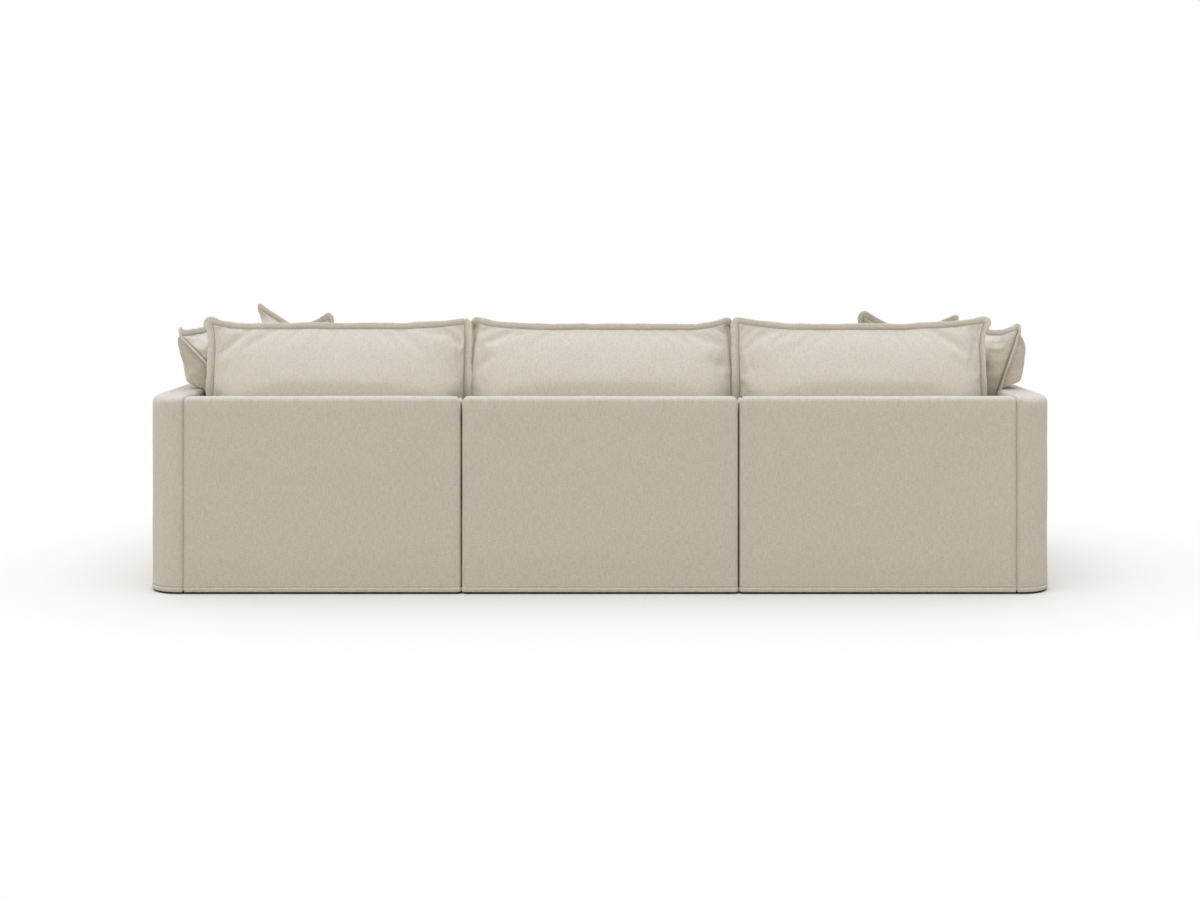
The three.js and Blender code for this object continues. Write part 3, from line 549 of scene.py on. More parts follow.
class Stitching:
    """Rows of short thread stitches that lie along a seam."""

    PITCH = 0.0095
    LENGTH = 0.0062
    THICKNESS = 0.0011
    RINGS = ((-0.5, 0.0), (-0.36, 0.8), (0.0, 1.0), (0.36, 0.8), (0.5, 0.0))

    def __init__(self, name: str) -> None:
        """Starts without a stitch."""
        self.name = name
        self.sheet = Sheet()

    def add_row(self, path: np.ndarray, normals: np.ndarray) -> None:
        """Adds a row of stitches.

        Args:
            path: points along the seam.
            normals: the way out of the cloth at each of them.
        """
        span = running_lengths(path)
        count = int(span[-1] / self.PITCH)
        if count < 1:
            return
        at = (np.arange(count) + 0.5) * span[-1] / count
        half = self.LENGTH / 2
        first, last = self.sample(path, span, at - half), self.sample(path, span, at + half)
        out = unit(self.sample(normals, span, at))
        way = unit(last - first)
        for stitch in zip((first + last) / 2, way, out, np.cross(way, out)):
            self.add_stitch(*stitch)

    @staticmethod
    def sample(rows: np.ndarray, span: np.ndarray, at: np.ndarray) -> np.ndarray:
        """Values along a path at some lengths of it."""
        return np.column_stack([np.interp(at, span, rows[:, k]) for k in range(3)])

    def add_stitch(self, centre, along, up, across) -> None:
        """Adds one stitch, with its ends pulled into the cloth."""
        half = self.THICKNESS / 2
        points = []
        for share, round_share in self.RINGS:
            place = centre + along * share * self.LENGTH + up * half * (round_share - 0.6)
            if round_share == 0.0:
                points.append(place)
                continue
            reach = half * round_share
            for sign_up, sign_side in ((1, 0), (0, 1), (-1, 0), (0, -1)):
                points.append(place + up * reach * sign_up + across * reach * sign_side)
        start = self.sheet.add_points(np.array(points))
        rings = [[start + 1 + ring * 4 + k for k in range(4)] for ring in range(3)]
        tip = start + len(points) - 1
        for k in range(4):
            after = (k + 1) % 4
            spots = [(0.0, k * 0.001), (0.0, k * 0.001 + 0.001), (0.002, k * 0.001)]
            self.sheet.add_face((start, rings[0][after], rings[0][k]), spots)
            self.sheet.add_face((tip, rings[2][k], rings[2][after]), spots)
            for low, high in zip(rings, rings[1:]):
                quad = [*spots[:2], (0.002, k * 0.001 + 0.001), (0.002, k * 0.001)]
                self.sheet.add_face((low[k], low[after], high[after], high[k]), quad)

    def build(self, body: str) -> None:
        """Makes the stitches one piece that rides on a body."""
        THREAD.fit(self.sheet.build(self.name, {}), body)


@dataclass
class Zip:
    """A closed zip with its tape, teeth, slider and pull."""

    name: str
    body: str
    length: float
    tape_half: float = 0.011
    tape_thickness: float = 0.0006
    tooth_pitch: float = 0.0028
    tooth_half: float = 0.0024
    tooth_height: float = 0.0011
    tooth_shift: float = 0.0006
    tape_parts: int = 14
    slider: tuple[float, float, float] = (0.009, 0.0045, 0.0022)
    pull: tuple[float, float, float] = (0.017, 0.0032, 0.0006)
    closed_share: float = 0.93

    @staticmethod
    def block(sheet: Sheet, middle: tuple, half: tuple, cut: float) -> None:
        """Adds a small block whose upper edges are cut off."""
        corners = np.array([(-1, -1), (1, -1), (1, 1), (-1, 1)])
        rings = []
        for inset, rise in ((0.0, -half[2]), (0.0, half[2] - cut), (cut, half[2])):
            flat = np.array(middle[:2]) + corners * (np.array(half[:2]) - inset)
            rings.append(np.column_stack([flat, np.full(4, middle[2] + rise)]))
        sheet.add_tube(rings, (0.0, half[0], 0.0, half[0]), (0.0, half[2], half[2]))

    def build(self, frame_of: Callable[[np.ndarray], np.ndarray]) -> None:
        """Builds the zip's three pieces.

        Args:
            frame_of: turns places along, across and out of the zip into the sofa's frame.
        """
        tape, teeth, slider = Sheet(), Sheet(), Sheet()
        thick = self.tape_thickness
        part_length = self.length / self.tape_parts
        for part in range(self.tape_parts):
            place = ((part + 0.5) * part_length - self.length / 2, 0.0, thick / 2)
            self.block(tape, place, (part_length / 2, self.tape_half, thick / 2), thick * 0.4)
        count = int(self.length * 0.97 / self.tooth_pitch)
        for number in range(count):
            along = (number + 0.5 - count / 2) * self.tooth_pitch
            across = self.tooth_shift * (1 if number % 2 else -1)
            size = (self.tooth_pitch * 0.36, self.tooth_half, self.tooth_height / 2)
            self.block(teeth, (along, across, thick + self.tooth_height / 2), size, 0.0003)
        rise = thick + self.tooth_height
        end = self.length / 2 * self.closed_share
        a, b, c = self.slider
        self.block(slider, (end, 0.0, rise + c / 2), (a / 2, b, c / 2), 0.0007)
        a, b, c = self.pull
        self.block(slider, (end - a * 0.62, 0.0, rise + self.slider[2] + c), (a / 2, b, c), 0.0003)
        parts = {"tape": (tape, THREAD), "teeth": (teeth, ZIP_TEETH), "slider": (slider, ZINC)}
        for part, (sheet, finish) in parts.items():
            sheet.points = [frame_of(np.concatenate(sheet.points))]
            finish.fit(sheet.build(f"{self.name}_{part}", {}), self.body)


@dataclass(frozen=True)
class Plan:
    """The plan of one module, read from the frame."""

    module: Module
    seat_ease: float = 0.003

    @property
    def side(self) -> int:
        """-1, 0 or 1: where the module stands along X."""
        return self.module.value

    @property
    def label(self) -> str:
        """The first word of the module's node names."""
        return self.module.label

    @property
    def cover(self) -> tuple[Vector, Vector]:
        """The box of the fitted cover."""
        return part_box(f"{self.label}_slipcover")

    @property
    def seat(self) -> tuple[Vector, Vector]:
        """The box of the seat cushion."""
        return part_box(f"{self.label}_seat_cover")

    @property
    def inner(self) -> float:
        """X of the seam side, which faces the centre of the sofa."""
        low, high = self.cover
        return high.x if self.side < 0 else low.x

    @property
    def arm_inner(self) -> float:
        """X of the arm's inner face, or of the centre module's other seam side."""
        low, high = self.seat
        if self.side == 0:
            return self.cover[1].x
        return low.x - self.seat_ease if self.side < 0 else high.x + self.seat_ease

    @property
    def outer(self) -> float:
        """X of the arm's outer face."""
        low, high = self.cover
        return low.x if self.side < 0 else high.x

    @property
    def rear(self) -> float:
        """Y of the sofa's back plane."""
        return self.cover[1].y

    @property
    def back_inner(self) -> float:
        """Y of the back's front face."""
        return self.seat[1].y + self.seat_ease

    @property
    def front(self) -> float:
        """Y of the seat's front."""
        return self.cover[0].y

    @property
    def arm_front(self) -> float:
        """Y of the arm's front end, which is the front of the sofa without the chaise."""
        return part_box("centre_slipcover")[0].y


@dataclass
class Slipcover:
    """A module's fitted linen cover, with its sewn seams and stitched hem."""

    plan: Plan
    edge_round: float = 0.017
    arm_edge_round: float = 0.026
    gap_round: float = 0.014
    gap_fall: float = 0.008
    shoulder_round: float = 0.018
    arm_shoulder: float = 0.006
    back_fall: float = 0.008
    arm_round: float = 0.11
    foot_end_round: float = 0.08
    step: float = 0.02
    arc_step: float = 0.011
    hem_stitch: float = 0.0158
    seam_depth: float = 0.006
    seam_width: float = 0.0026
    hem_depth: float = 0.0016
    hem_swell: float = 0.002
    hem_width: float = 0.0016
    swell: float = 0.0009
    overlap: float = 0.009
    touch: float = 0.0001
    wall: float = 0.0016
    # Section of the strip of painted shadow inside the hem: inset and height of each point.
    tape_outline: tuple = (
        (0.0024, 0.0015),
        (0.0018, 0.003),
        (0.0018, 0.013),
        (0.0034, 0.014),
        (0.005, 0.013),
        (0.005, 0.003),
        (0.0044, 0.0015),
    )
    hem_line: list = field(default_factory=list)
    seam_line: list = field(default_factory=list)

    def corners(self, tall: bool) -> list[tuple[float, float, float]]:
        """The corners of the upright part or of the base, anticlockwise, each with its radius."""
        p = self.plan
        side = p.side
        if side == 0:
            front = p.back_inner if tall else p.front
            rear = p.rear if tall else p.back_inner + self.overlap
            found = [(p.inner, front), (p.arm_inner, front), (p.arm_inner, rear), (p.inner, rear)]
            return [(x, y, self.gap_round) for x, y in found]
        if tall:
            found = [
                (p.inner, p.back_inner, self.gap_round),
                (p.arm_inner, p.back_inner, 0.0),
                (p.arm_inner, p.arm_front, self.gap_round),
                (p.outer, p.arm_front, self.arm_round),
                (p.outer, p.rear, self.arm_round),
                (p.inner, p.rear, self.gap_round),
            ]
        else:
            chaise = side > 0
            far = p.arm_inner if chaise else p.arm_inner + side * self.overlap
            nose = self.foot_end_round if chaise else self.gap_round
            rear = p.back_inner + self.overlap
            found = [
                (p.inner, p.front, nose),
                (far, p.front, nose if chaise else self.seam_width),
                (far, rear, self.seam_width),
                (p.inner, rear, self.seam_width),
            ]
        return found if side > 0 else found[::-1]

    def marks(self, start: float, end: float, seam: float | None) -> np.ndarray:
        """Places between two ends, evenly spaced, with close ones about a seam between them."""
        count = max(2, round(abs(end - start) / self.step))
        found = np.linspace(start, end, count + 1)[1:-1]
        if seam is None or not min(start, end) < seam < max(start, end):
            return found
        close = seam + self.seam_width * np.array(SEAM_STEPS)
        close = close[(close > min(start, end) + 0.001) & (close < max(start, end) - 0.001)]
        far = found[np.abs(found - seam) > self.seam_width * SEAM_REACH]
        return np.array(sorted([*far, *close], reverse=bool(start > end)))

    def loop(self, corners: list, seam: float | None) -> list[tuple]:
        """The outline as points that can be moved inwards.

        Args:
            corners: the outline's corners.
            seam: X of a seam across the long sides.

        Returns:
            For each point its place and its inward direction per metre, and the radius it keeps.
        """
        found = []
        size = len(corners)
        for index, (x, y, radius) in enumerate(corners):
            before, after = corners[index - 1], corners[(index + 1) % size]
            into = np.array([x - before[0], y - before[1]])
            out = np.array([after[0] - x, after[1] - y])
            into, out = into / np.linalg.norm(into), out / np.linalg.norm(out)
            turn = float(into[0] * out[1] - into[1] * out[0])
            steps = max(3, round(radius * math.pi / 2 / self.arc_step)) if radius else 4
            centre = np.array([x, y]) + radius * (out - into)
            for step in range(steps + 1):
                angle = step / steps * math.pi / 2
                spoke = into * math.sin(angle) - out * math.cos(angle)
                found.append((centre + radius * spoke, -spoke if turn > 0 else spoke))
            here = centre + radius * into
            next_radius = after[2]
            there = np.array(after[:2]) - out * next_radius
            axis = 0 if abs(out[0]) > 0.5 else 1
            inward = np.array([-out[1], out[0]])
            crossing = seam if axis == 0 and abs(there[0] - here[0]) > self.step else None
            for value in self.marks(here[axis], there[axis], crossing):
                point = here.copy()
                point[axis] = value
                found.append((point, inward))
        return found

    def groove(self, points: np.ndarray, seams: Sequence[float]) -> np.ndarray:
        """How much each point is on a seam, from 0 to 1."""
        mask = np.zeros(len(points))
        for place in seams:
            mask = np.maximum(mask, np.exp(-(((points[:, 0] - place) / self.seam_width) ** 2)))
        return mask

    @staticmethod
    def rounded(gap: np.ndarray, radius: float) -> np.ndarray:
        """How far a rounded edge has dropped at a distance from its side."""
        inside = np.clip(radius - gap, 0, radius)
        return radius - np.sqrt(radius**2 - inside**2)

    def tops(self, flat: np.ndarray, top: float, tall: bool) -> tuple[np.ndarray, np.ndarray]:
        """Shapes the cover's top.

        Args:
            flat: places in plan, one row each.
            top: the height of the top before it falls off.
            tall: whether this is the upright part.

        Returns:
            The height of the top at each place, and the radius of its edge there.
        """
        p = self.plan
        size = len(flat)
        if not tall:
            return np.full(size, top), np.full(size, self.edge_round)
        inner_gap = np.abs(flat[:, 0] - p.inner)
        fall = self.rounded(inner_gap, self.gap_fall)
        depth = (p.rear - self.edge_round - flat[:, 1]) / (p.rear - p.back_inner - self.edge_round)
        slope = self.back_fall * np.clip(depth, 0, 1)
        if p.side == 0:
            fall = fall + self.rounded(np.abs(p.arm_inner - flat[:, 0]), self.gap_fall)
            return top - fall - slope, np.full(size, self.edge_round)
        past = (flat[:, 0] - p.arm_inner) * p.side
        on_arm = past > 0
        behind = flat[:, 1] > p.back_inner - self.edge_round
        shoulder = self.rounded(np.abs(past), self.shoulder_round)
        arm_shoulder = self.rounded(np.abs(past), self.arm_shoulder)
        slope = slope * np.clip(-past / self.shoulder_round, 0, 1)
        fall = np.where(on_arm, arm_shoulder, fall + shoulder + slope) * behind
        share = np.clip(past / self.arm_round * 2, 0, 1)
        rounds = self.edge_round + (self.arm_edge_round - self.edge_round) * share
        return top - fall, rounds

    def shell(self, sheet: Sheet, tall: bool, masks: list[np.ndarray]) -> None:
        """Adds one shell: its walls from the hem up, its rounded top edge and its top.

        Args:
            sheet: the cover's sheet.
            tall: whether this is the upright part, or else the base.
            masks: gets the painted seam shade of the points that are added.
        """
        p = self.plan
        cover_low, cover_high = p.cover
        deck = p.seat[0].z
        top = cover_high.z if tall else deck
        hem = cover_low.z
        seam = p.arm_inner if p.side and tall else None
        loop = self.loop(self.corners(tall), seam)
        flat = np.array([point for point, _ in loop])
        inward = np.array([way for _, way in loop])
        base = self.corners(False)
        low = np.min([c[:2] for c in base], 0)
        high = np.max([c[:2] for c in base], 0)
        hidden = flat[:, 1] > p.back_inner
        if tall:
            hidden = np.all((flat > low - self.touch) & (flat < high + self.touch), axis=1)
        foot = np.where(hidden, deck - 2 * self.hem_width, hem)
        crease = hem + self.hem_stitch
        lows = [0.0, 0.001, 0.003, 0.007, 0.012]
        near = self.hem_width * np.array([-1.8, -1.0, -0.5, 0.0, 0.5, 1.0, 1.8, 3.0, 6.0])
        peaks, edges = self.tops(flat, top, tall)
        walls = np.arange(crease + 0.03, top - self.arm_edge_round - self.step / 2, self.step)
        levels = np.array([*(hem + np.array(lows)), *(crease + near), *walls, top - self.edge_round])
        arc = np.linspace(0, math.pi / 2, 6)[1:]
        rings, heights = [], []
        along = arc_lengths(flat)
        for level in levels:
            share = (level - hem) / (top - hem)
            z = foot + (top - foot) * share
            if level == levels[-1]:
                z = peaks - edges
            line = np.exp(-(((z - crease) / self.hem_width) ** 2))
            band = np.clip(1 - ((z - hem - self.hem_stitch / 2) / (self.hem_stitch / 2)) ** 2, 0, 1)
            depth = self.hem_depth * line - self.hem_swell * np.sqrt(band)
            rings.append((flat, inward, z, depth, line))
            heights.append(level)
        for angle in arc:
            z = peaks - edges * (1 - math.sin(angle))
            depth = edges * (1 - math.cos(angle))
            rings.append((flat, inward, z, depth, np.zeros(len(flat))))
            heights.append(top + self.edge_round * (angle - math.pi / 2))
        numbers = []
        for plane, way, z, depth, line in rings:
            place = np.column_stack([plane, z])
            near_seam = self.groove(place, [seam] if seam is not None else [])
            near_seam = near_seam * (plane[:, 1] > p.back_inner - 0.02)
            soft = ripple(place, 0.16, 3.7) * self.swell + ripple(place, 0.04, 8.1) * self.swell * 0.25
            reach = depth + near_seam * self.seam_depth + soft * (np.abs(z - hem) > 0.004)
            moved = np.column_stack([plane + way * reach[:, None], z])
            start = sheet.add_points(moved)
            numbers.append(np.arange(start, start + len(moved)))
            # Painted shade: darker along the seam's groove and, at 0.35, along the hem's stitched crease.
            masks.append(np.maximum(near_seam, line * 0.35))
        sheet.add_bands(numbers, along, heights)
        self.keep_lines(flat, inward, hidden, seam)
        self.cap(sheet, numbers[-1], top, seam, masks)

    def cap(self, sheet: Sheet, rim: np.ndarray, top: float, seam: float | None, masks: list) -> None:
        """Closes a shell's top.

        Args:
            sheet: the cover's sheet.
            rim: the numbers of the points of the shell's last ring.
            top: the height of the top before it falls off.
            seam: X of the seam across it.
            masks: gets the painted seam shade of the points that are added.
        """
        border = np.concatenate(sheet.points)[rim][:, :2]
        low, high = border.min(0), border.max(0)
        xs = np.arange(low[0] + self.step, high[0], self.step)
        if seam is not None:
            close = self.seam_width * np.array(SEAM_STEPS)
            xs = np.concatenate([xs[np.abs(xs - seam) > self.seam_width * SEAM_REACH], seam + close])
        ys = np.arange(low[1] + self.step, high[1], self.step)
        grid = np.array([(x, y) for x in xs for y in ys])
        grid = grid[self.inside(grid, border, self.step * 0.3)]
        places = [Vector(row) for row in np.concatenate([border, grid])]
        edges = [(k, (k + 1) % len(border)) for k in range(len(border))]
        verts, _, faces, origin, _, _ = delaunay_2d_cdt(places, edges, [], 1, 1e-7)
        numbers = {}
        fresh = []
        for index, sources in enumerate(origin):
            rims = [source for source in sources if source < len(border)]
            if rims:
                numbers[index] = rim[rims[0]]
            else:
                fresh.append(index)
        flat = np.array([verts[k] for k in fresh]).reshape(-1, 2)
        tall = top > self.plan.seat[0].z + self.edge_round
        place = np.column_stack([flat, self.tops(flat, top, tall)[0]])
        near_seam = self.groove(place, [seam] if seam is not None else [])
        if seam is not None:
            near_seam = near_seam * (flat[:, 1] > self.plan.back_inner - 0.01)
        soft = ripple(place, 0.16, 3.7) * self.swell
        place[:, 2] -= near_seam * self.seam_depth + soft + self.swell
        start = sheet.add_points(place)
        # Painted shade along the seam's groove over the top.
        masks.append(near_seam)
        numbers.update({index: start + k for k, index in enumerate(fresh)})
        for face in faces:
            sheet.add_face([numbers[k] for k in face], [tuple(verts[k]) for k in face])

    def keep_lines(self, flat: np.ndarray, inward: np.ndarray, hidden: np.ndarray, seam) -> None:
        """Keeps where the hem and the arm's seam run, for their stitches and the strip of painted shadow
        inside the hem.
        """
        self.hem_line.append((flat, inward, ~hidden))
        if seam is None:
            return
        p = self.plan
        low, high = p.cover[0].z + self.hem_stitch * 2, p.cover[1].z - self.arm_edge_round
        heights = np.arange(low, high, self.step)
        for shift in (-2.6, 2.6):
            x = seam + shift * self.seam_width
            row = np.column_stack([np.full(len(heights), x), np.full(len(heights), p.rear), heights])
            self.seam_line.append(row)

    def sew(self) -> None:
        """Sews the hem and the arm's seam, and adds the near-black strip inside the hem that paints the
        shadow in the gap under it.
        """
        p = self.plan
        rows = Stitching(f"{p.label}_cover_stitches")
        hem = p.cover[0].z
        # Gathers the near-black strips of painted shadow inside the hem.
        tape = Sheet()
        for flat, inward, shown in self.hem_line:
            for run in self.runs(shown):
                height = np.full(len(run), hem + self.hem_stitch)
                out = flat[run] + inward[run] * self.hem_depth * 0.6
                rows.add_row(np.column_stack([out, height]), np.column_stack([-inward[run], height * 0]))
                self.add_tape(tape, flat[run], inward[run])
        for row in self.seam_line:
            rows.add_row(row, np.tile([0.0, 1.0, 0.0], (len(row), 1)))
        rows.build(f"{p.label}_module")
        HEM_SHADOW_STRIP.fit(tape.build(f"{p.label}_hem_tape", {}), f"{p.label}_module")

    @staticmethod
    def runs(shown: np.ndarray) -> list[np.ndarray]:
        """The unbroken stretches of a closed line that show, as point numbers."""
        size = len(shown)
        if shown.all():
            return [np.arange(size + 1) % size]
        first = int(np.flatnonzero(~shown)[0])
        order = (np.arange(size) + first) % size
        found, run = [], []
        for number in order:
            if shown[number]:
                run.append(number)
            elif run:
                found.append(np.array(run))
                run = []
        if run:
            found.append(np.array(run))
        return [run for run in found if len(run) > 1]

    def add_tape(self, tape: Sheet, flat: np.ndarray, inward: np.ndarray) -> None:
        """Adds a near-black strip inside the hem, with its lower edge just above the floor: painted shadow
        for the gap under the hem.
        """
        insets, heights = np.array(self.tape_outline).T
        rings = []
        for place, way in zip(flat, inward):
            rings.append(np.column_stack([place + way * insets[:, None], heights]))
        tape.add_tube(rings, insets + heights, running_lengths(flat))

    @staticmethod
    def inside(points: np.ndarray, border: np.ndarray, margin: float) -> np.ndarray:
        """Finds the points inside a closed outline.

        Args:
            points: places in plan, one row each.
            border: the outline's places in order.
            margin: how far from the outline a point has to be.

        Returns:
            True for each point inside.
        """
        after = np.roll(border, -1, 0)
        crossing = np.zeros(len(points), bool)
        nearest = np.full(len(points), np.inf)
        for a, b in zip(border, after):
            spans = (a[1] > points[:, 1]) != (b[1] > points[:, 1])
            if abs(b[1] - a[1]) > 1e-12:
                at = a[0] + (points[:, 1] - a[1]) * (b[0] - a[0]) / (b[1] - a[1])
                crossing ^= spans & (points[:, 0] < at)
            step = b - a
            share = np.clip((points - a) @ step / max(step @ step, 1e-12), 0, 1)
            nearest = np.minimum(nearest, np.linalg.norm(points - a - share[:, None] * step, axis=1))
        return crossing & (nearest > margin)

    def build(self) -> None:
        """Builds the cover and lets it stand for the frame's one."""
        label = self.plan.label
        sheet = Sheet()
        masks: list[np.ndarray] = []
        for tall in (True, False):
            self.shell(sheet, tall, masks)
        piece = sheet.build(f"{label}_cover", {PAINTED_SEAM_SHADE_MASK: np.concatenate(masks)})
        thick = piece.modifiers.new("wall", "SOLIDIFY")
        thick.thickness = self.wall
        thick.offset = -1.0
        LINEN.fit(piece, f"{label}_module", f"{label}_slipcover")
        self.sew()


@dataclass
class Filling:
    """How a cushion's cover is blown up by its filling in a short cloth simulation."""

    pressure: float = 4.0
    slack: float = 0.03
    frames: int = 20
    reach: float = 0.014
    bending: float = 1.5
    stiffness: float = 15.0

    def run(self, piece: bpy.types.Object, held: np.ndarray) -> np.ndarray:
        """Simulates the cover and takes it away again.

        Args:
            piece: the cover, standing free at the origin.
            held: the numbers of the points on its seams.

        Returns:
            The places of all its points after the simulation.
        """
        before = places_of(piece.data)
        group = piece.vertex_groups.new(name="held")
        group.add(held.tolist(), 1.0, "REPLACE")
        cloth = piece.modifiers.new("filling", "CLOTH")
        values = cloth.settings
        values.vertex_group_mass = group.name
        values.quality = 5
        values.mass = 0.3
        values.tension_stiffness = values.compression_stiffness = self.stiffness
        values.shear_stiffness = 5.0
        values.bending_stiffness = self.bending
        values.use_pressure = True
        values.uniform_pressure_force = self.pressure
        values.shrink_min = -self.slack
        values.effector_weights.gravity = 0.0
        cloth.collision_settings.use_collision = False
        scene = bpy.context.scene
        for number in range(1, self.frames + 1):
            scene.frame_set(number)
        shown = piece.evaluated_get(bpy.context.evaluated_depsgraph_get())
        moved = places_of(shown.data) - before
        mesh = piece.data
        bpy.data.objects.remove(piece)
        bpy.data.meshes.remove(mesh)
        scene.frame_set(1)
        size = np.linalg.norm(moved, axis=1, keepdims=True)
        limit = self.reach * np.tanh(size / self.reach)
        return before + moved * limit / np.maximum(size, 1e-9)


@dataclass(frozen=True)
class Crease:
    """A fold that is pressed into a cushion's face, from one point of it to another."""

    start: tuple[float, float]
    end: tuple[float, float]
    width: float
    depth: float
    rear: bool = True


@dataclass
class FlangedCushion:
    """A filled cushion or pillow with a flat sewn border, leaning on what stands behind it.

    Its own frame has +Y towards its support, +Z up and its origin at its middle.
    """

    name: str
    body: str
    cover_node: str
    insert_node: str | None
    half_width: float
    half_height: float
    front_bulge: float
    rear_bulge: float
    top_dip: float
    side_dips: tuple[float, float] = (0.006, 0.006)
    dip_runs: tuple[float, float] = (0.12, 0.12)
    dip_power: float = 2.0
    side_dip_run: float = 0.1
    drop_power: float = 1.5
    seam_wave: float = 0.0022
    seam_wave_length: float = 0.09
    droops: tuple[float, float] = (0.0, 0.0)
    widened: tuple[float, float] = (0.0, 0.0)
    belly: float = 0.0
    rear_crown: tuple[float, float] = (2.0, 0.5)
    side_power: float = 6.0
    bend: float = 0.0
    bend_start: float = 0.0
    support: float | None = None
    support_top: float = 0.0
    over: float = 0.0
    lean_soft: float = 0.004
    over_step: float = 0.5
    over_rise: float = 0.026
    over_height: float = 0.2
    over_round: float = 3.0
    folded: tuple[float, float] = (0.0, 0.0)
    fold_back: tuple[float, float] = (0.0, 0.0)
    fold_out: float = 0.008
    corner_back: float = 0.25
    back_power: float = 16.0
    slant: float = 0.0
    slant_side: int = 1
    turn: float = 0.0
    tilt: float = 0.0
    place: tuple[float, float, float] | None = None
    fill: float = 0.7
    seed: float = 0.0
    flange: float = 0.022
    foot_flange: float = 0.008
    flange_half: float = 0.0034
    root_half: float = 0.0018
    flange_wave: float = 0.0022
    flange_wave_length: float = 0.07
    fray: float = 0.0009
    fray_length: float = 0.018
    corner_ears: tuple[float, float] = (1.2, 1.2)
    corner_passes: int = 6
    ear_points: float = 3.0
    width_wave: float = 0.1
    width_wave_length: float = 0.06
    fold_angle: float = math.radians(82)
    fold_run: float = 0.035
    fold_start: float = 0.002
    step: float = 0.011
    front_power: float = 2.2
    front_side_power: float = 3.0
    foot_power: float = 6.0
    kept_swell: float = 0.3
    swell_passes: int = 14
    insert_share: float = 0.95
    insert_fill: float = 0.84
    creases: tuple[Crease, ...] = ()
    zip_length: float = 0.0
    filling: Filling = field(default_factory=Filling)

    def counts(self) -> tuple[int, int]:
        """How many cells the face has along and up."""
        return round(2 * self.half_width / self.step), round(2 * self.half_height / self.step)

    @staticmethod
    def spread(count: int) -> np.ndarray:
        """Shares from -1 to 1 that lie closer together near the seams."""
        even = np.linspace(-1, 1, count + 1)
        return 0.35 * even + 0.65 * np.sin(even * math.pi / 2)

    def levels(self) -> tuple[float, float]:
        """The lowest and highest place of the filled body."""
        return -self.half_height + self.foot_flange, self.half_height - self.flange

    def fold_at(self, height: np.ndarray, side: int) -> np.ndarray:
        """How far the border is folded forward at a height on one side, from 0 to 1."""
        top = self.levels()[1]
        share = np.clip((top - self.fold_start - height) / self.fold_run, 0, 1)
        return self.folded[0 if side < 0 else 1] * share * share * (3 - 2 * share)

    def reach(self, height: np.ndarray, side: int) -> np.ndarray:
        """How far out the filled body goes on one side."""
        fold = self.fold_at(height, side)
        out = self.fold_out if self.folded[0 if side < 0 else 1] else 0.0
        return self.half_width - self.flange * (1 - fold) + out

    def dip(self, gap: np.ndarray, run: np.ndarray | float) -> np.ndarray:
        """How much of a side's pull-in is reached at a distance from its corner."""
        return 1 - (1 - np.clip(gap / run, 0, 1)) ** self.dip_power

    def seam_plane(self, height: np.ndarray) -> np.ndarray:
        """Where the seam lies from front to back at a height."""
        rise = np.maximum(height - self.bend_start, 0) / (self.half_height - self.bend_start)
        return self.bend * np.where(rise < 0.2, rise * rise * 2.5, rise - 0.1) / 0.9

    def limit(self, x: np.ndarray, height: np.ndarray) -> np.ndarray:
        """How far back the cushion may reach at a place, because of what it leans on."""
        if self.support is None:
            return np.full(len(height), np.inf)
        above = height - self.support_top
        step = np.sqrt(1 - (1 - np.clip(above / self.over_rise, 0, 1)) ** 2)
        rest = np.sin(np.clip(above / self.over_height, 0, 1) * math.pi / 2)
        open_end = np.clip(-self.slant_side * x / self.half_width, 0, 0.98)
        over = self.over * np.sqrt(1 - open_end**self.over_round)
        return self.support + over * (self.over_step * step + (1 - self.over_step) * rest)

    def face(self, side: int) -> np.ndarray:
        """Shapes one face.

        Args:
            side: -1 for the front and 1 for the rear.

        Returns:
            The places of its points, row by row from the foot.
        """
        along, up = self.counts()
        u, v = (part.ravel() for part in np.meshgrid(self.spread(along), self.spread(up)))
        low, high = self.levels()
        flat_height = (low + high) / 2 + v * (high - low) / 2
        width = np.where(u < 0, self.reach(flat_height, -1), self.reach(flat_height, 1))
        pull = self.dip((1 - np.abs(v)) * (high - low) / 2, self.side_dip_run)
        x = u * (width - np.where(u < 0, *self.side_dips) * pull)
        run = np.where(u < 0, *self.dip_runs)
        drop = self.top_dip * self.dip((1 - np.abs(u)) * width, run)
        drop = drop + (self.droops[0] * (1 - u) + self.droops[1] * (1 + u)) / 2
        row = np.column_stack([x, np.zeros(len(x)), np.full(len(x), self.seed)])
        drop = drop + ripple(row, self.seam_wave_length, self.seed) * self.seam_wave * (1 - u**6)
        z = flat_height - drop * np.maximum(v, 0) ** self.drop_power
        seam = self.seam_plane(z)
        back = np.where(u < 0, *self.fold_back)
        folds = np.where(u < 0, self.fold_at(flat_height, -1), self.fold_at(flat_height, 1))
        back = back * (self.corner_back + (1 - self.corner_back) * folds)
        seam = seam - back * np.abs(u) ** self.back_power
        if side < 0:
            power = np.where(v < 0, self.foot_power, self.front_power)
            upward = np.maximum(1 - np.abs(v) ** power, 0) ** 0.5
            across = np.maximum(1 - np.abs(u) ** self.front_side_power, 0) ** 0.5
            y = seam - self.root_half - self.front_bulge * upward * across
            return np.column_stack([x, y, z])
        belly = (self.belly - (low + high) / 2) / ((high - low) / 2)
        above = np.clip((v - belly) / (1 - belly), 0, 1)
        below = np.clip((belly - v) / (1 + belly), 0, 1)
        power, root = self.rear_crown
        upward = np.where(v > belly, (1 - above**power) ** root, (1 - below**self.foot_power) ** 0.5)
        across = np.maximum(1 - np.abs(u) ** self.side_power, 0) ** 0.5
        y = seam + self.root_half + self.rear_bulge * upward * across
        return np.column_stack([x, self.lean(x, y, z, seam), z])

